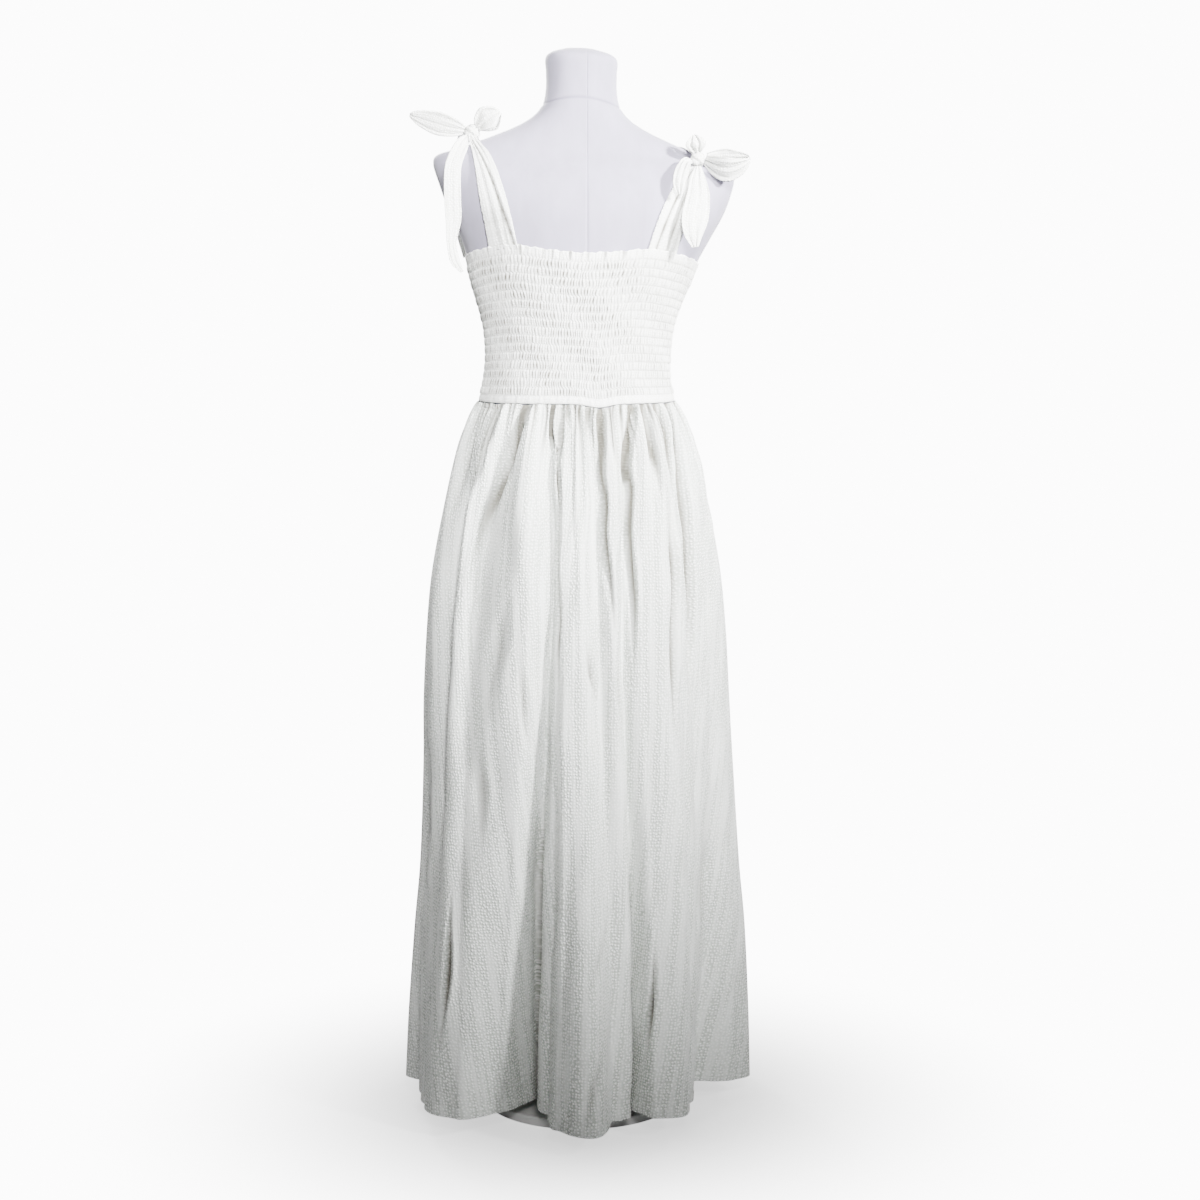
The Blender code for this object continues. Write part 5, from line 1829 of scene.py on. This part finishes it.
@dataclass
class Ties:
    """The straps, loops, knots and hanging ends of the shoulder bows."""

    form: DressForm
    bodice: Bodice
    wall: float = 0.0008
    strap_ease: float = 0.0006
    # The strap's foot is sewn in behind the bodice's heading
    sewn_in: float = 0.005
    # Shares of a strap's length at which its widths are given, the last of which is at the knot
    strap_stations: tuple[float, ...] = (0.0, 0.32, 0.70, 1.0)
    strap_end_half_width: float = 0.0040
    # The share of its length from which a strap leaves the form for its knot
    strap_lift_start: float = 0.8
    # Steps up and across the form that give its normal
    climb_step: float = 0.01
    side_step: float = 0.001
    ribbon_root_half_width: float = 0.0040
    stations: int = 72
    columns: int = 22
    fullness: float = 1.15
    # The crinkles are drawn together over this length from either end of a loop or tie end
    tight_length: float = 0.012
    knot_segments: int = 72
    knot_rings: int = 40
    # Depths of the wraps and pleats in a knot, in shares of its radius
    wrap_depth: float = 0.16
    wrap_pleat: float = 0.025

    def pleat_depths(self, pleats: Sequence[Pleat], across: np.ndarray, share: np.ndarray) -> np.ndarray:
        """Find the depth of a strap's lengthwise folds.

        Args:
            pleats: The folds.
            across: The columns' places across the strap, from -1 to 1.
            share: The stations' shares of its length.

        Returns:
            A distance for each station and column, below 0 in a fold.
        """
        depth = np.zeros((len(share), len(across)))
        for pleat in pleats:
            middle = (pleat.start + (pleat.end - pleat.start) * share)[:, None]
            away = (across[None, :] - middle) / pleat.half_width
            sharp = np.exp(-(away**2)) - 0.5 * np.exp(-(((away - 1.6) / 1.2) ** 2))
            depth -= pleat.depth_mm * MM * sharp
        return depth

    def strap_base(self, x: np.ndarray, half: Half) -> np.ndarray:
        """Find where straps start, just below the bodice's top edge.

        Args:
            x: Places across the body.
            half: The half that the strap starts on.

        Returns:
            The height at each place.
        """
        peak = max(self.bodice.top_edge, key=lambda row: row.height)
        section = self.form.at(np.full_like(x, peak.height))
        across = np.abs(x - section.shift_x)
        inside = 1 - (across / section.half_width) ** self.form.squareness
        depth = section.half_depth * inside ** (1 / self.form.squareness)
        seam = self.bodice.seam_angle(half, np.full_like(x, peak.height), self.bodice.ease)
        position = np.arctan2(across, depth) / seam
        return self.bodice.top_height(position * math.pi / 2) - self.sewn_in

    def finish(
        self, piece: bpy.types.Object, node: str, cotton: bpy.types.Material
    ) -> None:
        """Args:
            piece: The strip.
            node: The CAD node that it stands for.
            cotton: Its cloth.
        """
        apply_modifier(piece, "SOLIDIFY", thickness=self.wall, offset=0.0)
        piece.data.materials.append(cotton)
        hand_over(piece, Slot.COTTON, node)

    def build_strap(self, strap: Strap, cotton: bpy.types.Material) -> None:
        """Make a strap that lies up the form's shoulder and narrows into its knot.

        Args:
            strap: The strap.
            cotton: Its cloth.
        """
        share = np.linspace(0.0, 1.0, self.stations)
        across = np.linspace(-1.0, 1.0, self.columns)
        widths = (
            strap.base_half_width,
            strap.low_half_width,
            strap.high_half_width,
            self.strap_end_half_width,
        )
        half_width = smooth_curve(self.strap_stations, widths, share)
        x = (strap.base_x + (strap.top_x - strap.base_x) * share)[:, None] + across * half_width[:, None]
        climb = np.broadcast_to(share[:, None] * strap.climb, x.shape)
        base = self.strap_base(x, strap.half)
        here = self.form.up_shoulder(x, climb, strap.half, base)
        above = self.form.up_shoulder(x, climb + self.climb_step, strap.half, base)
        right = x + self.side_step
        beside = self.form.up_shoulder(right, climb, strap.half, self.strap_base(right, strap.half))
        normal = normalised(np.cross(above - here, beside - here)) * strap.half.outward
        normal[0, :, 2] = 0.0
        arrive, direction = knot_surface(strap.side, strap.arrival)
        lifted = np.clip((share - self.strap_lift_start) / (1 - self.strap_lift_start), 0.0, 1.0)
        lift = (lifted**2)[:, None, None]
        normal = normalised(normal - direction * (normal @ direction)[..., None] * lift)
        end_side = np.array([1.0, 0.0, 0.0]) - direction * direction[0]
        goal = arrive + normalised(end_side) * (across[None, :, None] * half_width[:, None, None])
        under = self.form.leaned(here) + normal * (self.strap_ease + self.wall / 2)
        centre = under * (1 - lift) + goal * lift
        folds = self.pleat_depths(strap.pleats, across, share)
        folds -= folds.min(axis=1, keepdims=True)
        points = centre + normal * folds[..., None]
        deepest = max(pleat.depth_mm * MM for pleat in strap.pleats)
        # Painted shade in the pleats, darker where they lie deeper
        crease = 1.2 * np.clip(1 - folds / deepest, 0.0, 1.0) ** 2
        # Rows run down, and columns run right, seen from outside
        order = (slice(None, None, -1), slice(None, None, 1 if strap.half is Half.BACK else -1))
        points = points[order]
        length = float(np.linalg.norm(np.diff(centre[:, self.columns // 2], axis=0), axis=1).sum())
        width = 2 * strap.base_half_width
        grid = np.meshgrid(np.linspace(0.0, width, self.columns), np.linspace(length, 0.0, self.stations))
        name = f"{strap.side.value}_strap_{strap.half.value}"
        piece = lay_sheet(name, points, np.stack(grid, axis=-1), crease[order])
        node = f"strap_{strap.half.value}_{strap.side.value}"
        self.finish(piece, node, cotton)

    def build_ribbon(
        self,
        name: str,
        node: str,
        centres: np.ndarray,
        sides: np.ndarray,
        half_widths: np.ndarray,
        crinkle: float,
        cotton: bpy.types.Material,
    ) -> None:
        """Make a strip of crinkled cloth along a line.

        Args:
            name: The piece's name.
            node: The CAD node that it stands for.
            centres: Points along its middle.
            sides: The way across it at each point.
            half_widths: Half its width at each point.
            crinkle: The height of its folds.
            cotton: Its cloth.
        """
        tangent = normalised(np.gradient(centres, axis=0))
        side = normalised(sides - tangent * np.sum(sides * tangent, axis=1, keepdims=True))
        normal = np.cross(side, tangent)
        across = np.linspace(-1.0, 1.0, self.columns)[None, :]
        steps = np.linalg.norm(np.diff(centres, axis=0), axis=1)
        along = np.concatenate([[0.0], np.cumsum(steps)])[:, None]
        seed = 70.0 * centres[0, 0] + len(name)
        # Two and a half crinkles across that wander, five finer ones, and short waves down the strip
        fold = np.cos(math.pi * 2.5 * across + 20.0 * along + seed)
        fold = fold + 0.5 * np.cos(math.pi * 5.0 * across - 45.0 * along + 2 * seed)
        fold = fold + 0.35 * np.cos(math.pi * across + 260.0 * along + seed) * np.sin(150.0 * along + seed)
        tight = np.exp(-along / self.tight_length) + np.exp(-(along[-1] - along) / self.tight_length)
        fold = fold * crinkle * (0.45 + 0.4 * np.minimum(tight, 1.0))
        # Painted shade in the troughs of the crinkles
        crease = np.clip(-fold / crinkle - 0.35, 0.0, 1.0)
        points = (
            centres[:, None, :]
            + side[:, None, :] * (across * half_widths[:, None])[..., None]
            + normal[:, None, :] * fold[..., None]
        )
        length = float(along[-1, 0])
        width = 2 * float(half_widths.max())
        grid = np.meshgrid(np.linspace(0.0, width, self.columns), length - along[:, 0])
        piece = lay_sheet(name, points, np.stack(grid, axis=-1), crease)
        self.finish(piece, node, cotton)

    def build_loop(self, loop: Loop, cotton: bpy.types.Material) -> None:
        """Make a bow's loop: a band that leaves the knot, turns round and comes back.

        Args:
            loop: The loop.
            cotton: Its cloth.
        """
        profile = np.array(LOOP_PROFILE)
        root, out = knot_surface(loop.side, loop.out, profile[0, 1] * loop.half_gap)
        opens = normalised(np.asarray(loop.opens) - out * float(np.dot(loop.opens, out)))
        stops = np.arange(len(profile))
        at = np.linspace(0.0, stops[-1], self.stations)
        length, gap, width = (smooth_curve(stops, column, at) for column in profile.T)
        centres = root + out * (length * loop.length)[:, None] + opens * (gap * loop.half_gap)[:, None]
        centres[:, 2] -= loop.sag * np.sin(math.pi * length)
        sides = np.broadcast_to(np.cross(out, opens), centres.shape)
        name = f"{loop.side.value}_bow_loop_{loop.place}"
        node = f"bow_{loop.side.value}_loop_{loop.place}"
        half_widths = width * loop.half_width
        self.build_ribbon(name, node, centres, sides, half_widths, loop.crinkle_mm * MM, cotton)

    def build_end(self, end: TieEnd, cotton: bpy.types.Material) -> None:
        """Make a hanging end of a tie.

        Args:
            end: The end.
            cotton: Its cloth.
        """
        root, _ = knot_surface(end.side, end.leaves)
        stops = np.array([(*root, self.ribbon_root_half_width), *end.stops])
        at = np.linspace(0.0, len(stops) - 1.0, self.stations)
        x, y, z, half_widths = (smooth_curve(np.arange(len(stops)), column, at) for column in stops.T)
        centres = np.stack([x, y, z], axis=1)
        sides = np.cross(np.gradient(centres, axis=0), np.asarray(end.faces))
        name = f"{end.side.value}_bow_end_{end.place}"
        node = f"bow_{end.side.value}_end_{end.place}"
        self.build_ribbon(name, node, centres, sides, half_widths, end.crinkle_mm * MM, cotton)

    def build_knot(self, side: Side, cotton: bpy.types.Material) -> None:
        """Make a knot: a round lump with wraps turned into it and small pleats along them.

        Args:
            side: The knot's shoulder.
            cotton: Its cloth.
        """
        knot = KNOTS[side]
        deselect_all()
        bpy.ops.mesh.primitive_uv_sphere_add(
            segments=self.knot_segments, ring_count=self.knot_rings, radius=1.0
        )
        lump = bpy.context.object
        lump.name = f"{side.value}_bow_knot"
        way = np.empty(len(lump.data.vertices) * 3, dtype=np.float32)
        lump.data.vertices.foreach_get("co", way)
        way = way.reshape(-1, 3).astype(float)
        # The wraps run round the knot and climb it, and their pleats cross them
        turn = 3 * np.arctan2(way[:, 1], way[:, 0]) * np.sqrt(1 - way[:, 2] ** 2).clip(0.3) + 5 * way[:, 2]
        wrap = (0.5 + 0.5 * np.cos(turn)) ** 3
        pleat = np.cos(way[:, 2] * 17 + 2 * np.sin(turn)) * np.cos(way[:, 0] * 13 + 3 * way[:, 1])
        reach = knot.radius * (1 - self.wrap_depth * wrap + self.wrap_pleat * pleat)
        points = np.asarray(knot.centre) + way * reach[:, None]
        lump.data.vertices.foreach_set("co", points.astype(np.float32).ravel())
        flat = np.empty(len(lump.data.loops) * 2, dtype=np.float32)
        lump.data.uv_layers.active.data.foreach_get("uv", flat)
        flat = flat.reshape(-1, 2) * knot.radius * np.array([math.tau, math.pi])
        lump.data.uv_layers.active.data.foreach_set("uv", flat.astype(np.float32).ravel())
        lump.data.update()
        bpy.ops.object.shade_smooth()
        lump.data.materials.append(cotton)
        hand_over(lump, Slot.COTTON, f"bow_{side.value}_knot")

    def build(self, cotton: bpy.types.Material) -> None:
        """Make the straps and both bows.

        Args:
            cotton: Their cloth.
        """
        for strap in STRAPS:
            self.build_strap(strap, cotton)
        for loop in LOOPS:
            self.build_loop(loop, cotton)
        for end in TIE_ENDS:
            self.build_end(end, cotton)
        for side in Side:
            self.build_knot(side, cotton)


@dataclass
class Studio:
    """A white floor, soft lights and the camera at the photograph's angle."""

    camera_place: Triple = (0.02535, -3.12, 1.07728)
    camera_tilt_deg: float = 7.36
    lens_mm: float = 72.0
    floor_size: float = 14.0
    backdrop: float = 12.0
    ambient: float = 0.10
    # Each light's name, place, size and power; the two far ones only reach the side away from the camera
    lights: tuple[tuple[str, Triple, float, float], ...] = (
        ("right_light", (2.40, -1.95, 2.30), 0.35, 34.0),
        ("near_light", (0.30, -3.0, 2.15), 0.6, 24.0),
        ("far_left_light", (-1.25, 2.95, 2.30), 0.6, 22.0),
        ("far_right_light", (1.90, 2.50, 2.20), 0.6, 12.0),
    )
    spread_deg: float = 36.5
    target: Triple = (0.0, 0.0, 1.20)
    sensor_mm: float = 36.0
    sky: str = "#fdfdff"
    floor: str = "#f7f7f7"
    floor_roughness: float = 0.8
    # The floor goes white between these distances from its middle, and is a little white even there
    floor_fade: tuple[float, float] = (0.15, 0.7)
    floor_least_white: float = 0.10

    def white_for_camera(self, tree: bpy.types.NodeTree, shader: bpy.types.Node) -> bpy.types.NodeSocket:
        """Show white where the camera looks straight at a shader, and leave its own light as it is.

        Args:
            tree: The node tree.
            shader: The shader.

        Returns:
            The mixed shader.
        """
        seen = add_node(tree, "ShaderNodeLightPath").outputs["Is Camera Ray"]
        glow = {"Color": (1.0, 1.0, 1.0, 1.0), "Strength": self.backdrop}
        white = add_node(tree, "ShaderNodeEmission", inputs=glow).outputs[0]
        mixed = add_node(tree, "ShaderNodeMixShader", inputs={0: seen, 1: shader.outputs[0], 2: white})
        return mixed.outputs[0]

    def build_world(self) -> None:
        """Make even soft light all round, in front of a white backdrop."""
        world = bpy.data.worlds.new("studio")
        world.use_nodes = True
        bpy.context.scene.world = world
        tree = world.node_tree
        background = tree.nodes["Background"]
        set_inputs(tree, background, {"Color": linear_colour(self.sky), "Strength": self.ambient})
        set_inputs(tree, tree.nodes["World Output"], {"Surface": self.white_for_camera(tree, background)})

    def build_floor(self) -> None:
        """Lay a pale floor that goes white away from the form's foot."""
        deselect_all()
        bpy.ops.mesh.primitive_plane_add(size=self.floor_size)
        floor = bpy.context.object
        floor.name = "floor"
        material, tree, shader = new_material("pale_floor")
        base = {"Base Color": linear_colour(self.floor), "Roughness": self.floor_roughness}
        set_inputs(tree, shader, base)
        place = add_node(tree, "ShaderNodeTexCoord").outputs["Object"]
        reach = add_node(tree, "ShaderNodeVectorMath", {"operation": "LENGTH"}, {0: place})
        far = add_node(
            tree,
            "ShaderNodeMapRange",
            {"interpolation_type": "SMOOTHSTEP"},
            {
                "Value": reach.outputs["Value"],
                "From Min": self.floor_fade[0],
                "From Max": self.floor_fade[1],
                "To Min": self.floor_least_white,
                "To Max": 1.0,
            },
        ).outputs["Result"]
        white = self.white_for_camera(tree, shader)
        mixed = add_node(tree, "ShaderNodeMixShader", inputs={0: far, 1: shader.outputs[0], 2: white})
        set_inputs(tree, tree.nodes["Material Output"], {"Surface": mixed.outputs[0]})
        floor.data.materials.append(material)

    def add_light(self, name: str, place: Triple, size: float, power: float) -> None:
        """Hang a soft square light that faces the dress.

        Args:
            name: Its name.
            place: Where it hangs.
            size: The length of its sides.
            power: Its power in watts.
        """
        light = bpy.data.lights.new(name, "AREA")
        light.energy = power
        light.size = size
        light.spread = math.radians(self.spread_deg)
        lamp = bpy.data.objects.new(name, light)
        lamp.location = place
        lamp.rotation_euler = (Vector(self.target) - Vector(place)).to_track_quat("-Z", "Y").to_euler()
        bpy.context.scene.collection.objects.link(lamp)

    def build_camera(self) -> None:
        """Set up the camera."""
        data = bpy.data.cameras.new("photo_view")
        data.lens = self.lens_mm
        data.sensor_width = self.sensor_mm
        camera = bpy.data.objects.new("photo_view", data)
        camera.location = self.camera_place
        camera.rotation_euler = Euler((math.radians(90 - self.camera_tilt_deg), 0.0, 0.0))
        bpy.context.scene.collection.objects.link(camera)
        bpy.context.scene.camera = camera

    def build(self) -> None:
        """Make the stage, the lights and the camera."""
        self.build_world()
        self.build_floor()
        for light in self.lights:
            self.add_light(*light)
        self.build_camera()


def main() -> None:
    """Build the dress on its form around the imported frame."""
    logging.basicConfig(level=logging.INFO, format="%(name)s: %(message)s")
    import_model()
    Studio().build()
    form = DressForm()
    form.build(StretchJersey().make())
    Stand().build(PowderCoat().make())
    bodice = Bodice(form)
    shirred = CrinkledCotton(
        name="white_shirred_cotton",
        hollow_shade="#e2e2dd",
        crease_share=1.0,
        grain_width_mm=3.4,
        grain_height_mm=3.0,
        grain_depth_mm=0.25,
    )
    bodice.build(shirred.make())
    cotton = CrinkledCotton().make()
    Skirt(bodice).build(cotton)
    ties = CrinkledCotton(
        name="white_tie_cotton",
        hollow_shade="#dcddd7",
        grain_width_mm=3.6,
        grain_height_mm=3.2,
        grain_depth_mm=0.55,
    )
    Ties(form, bodice).build(ties.make())


if __name__ == "__main__":
    main()
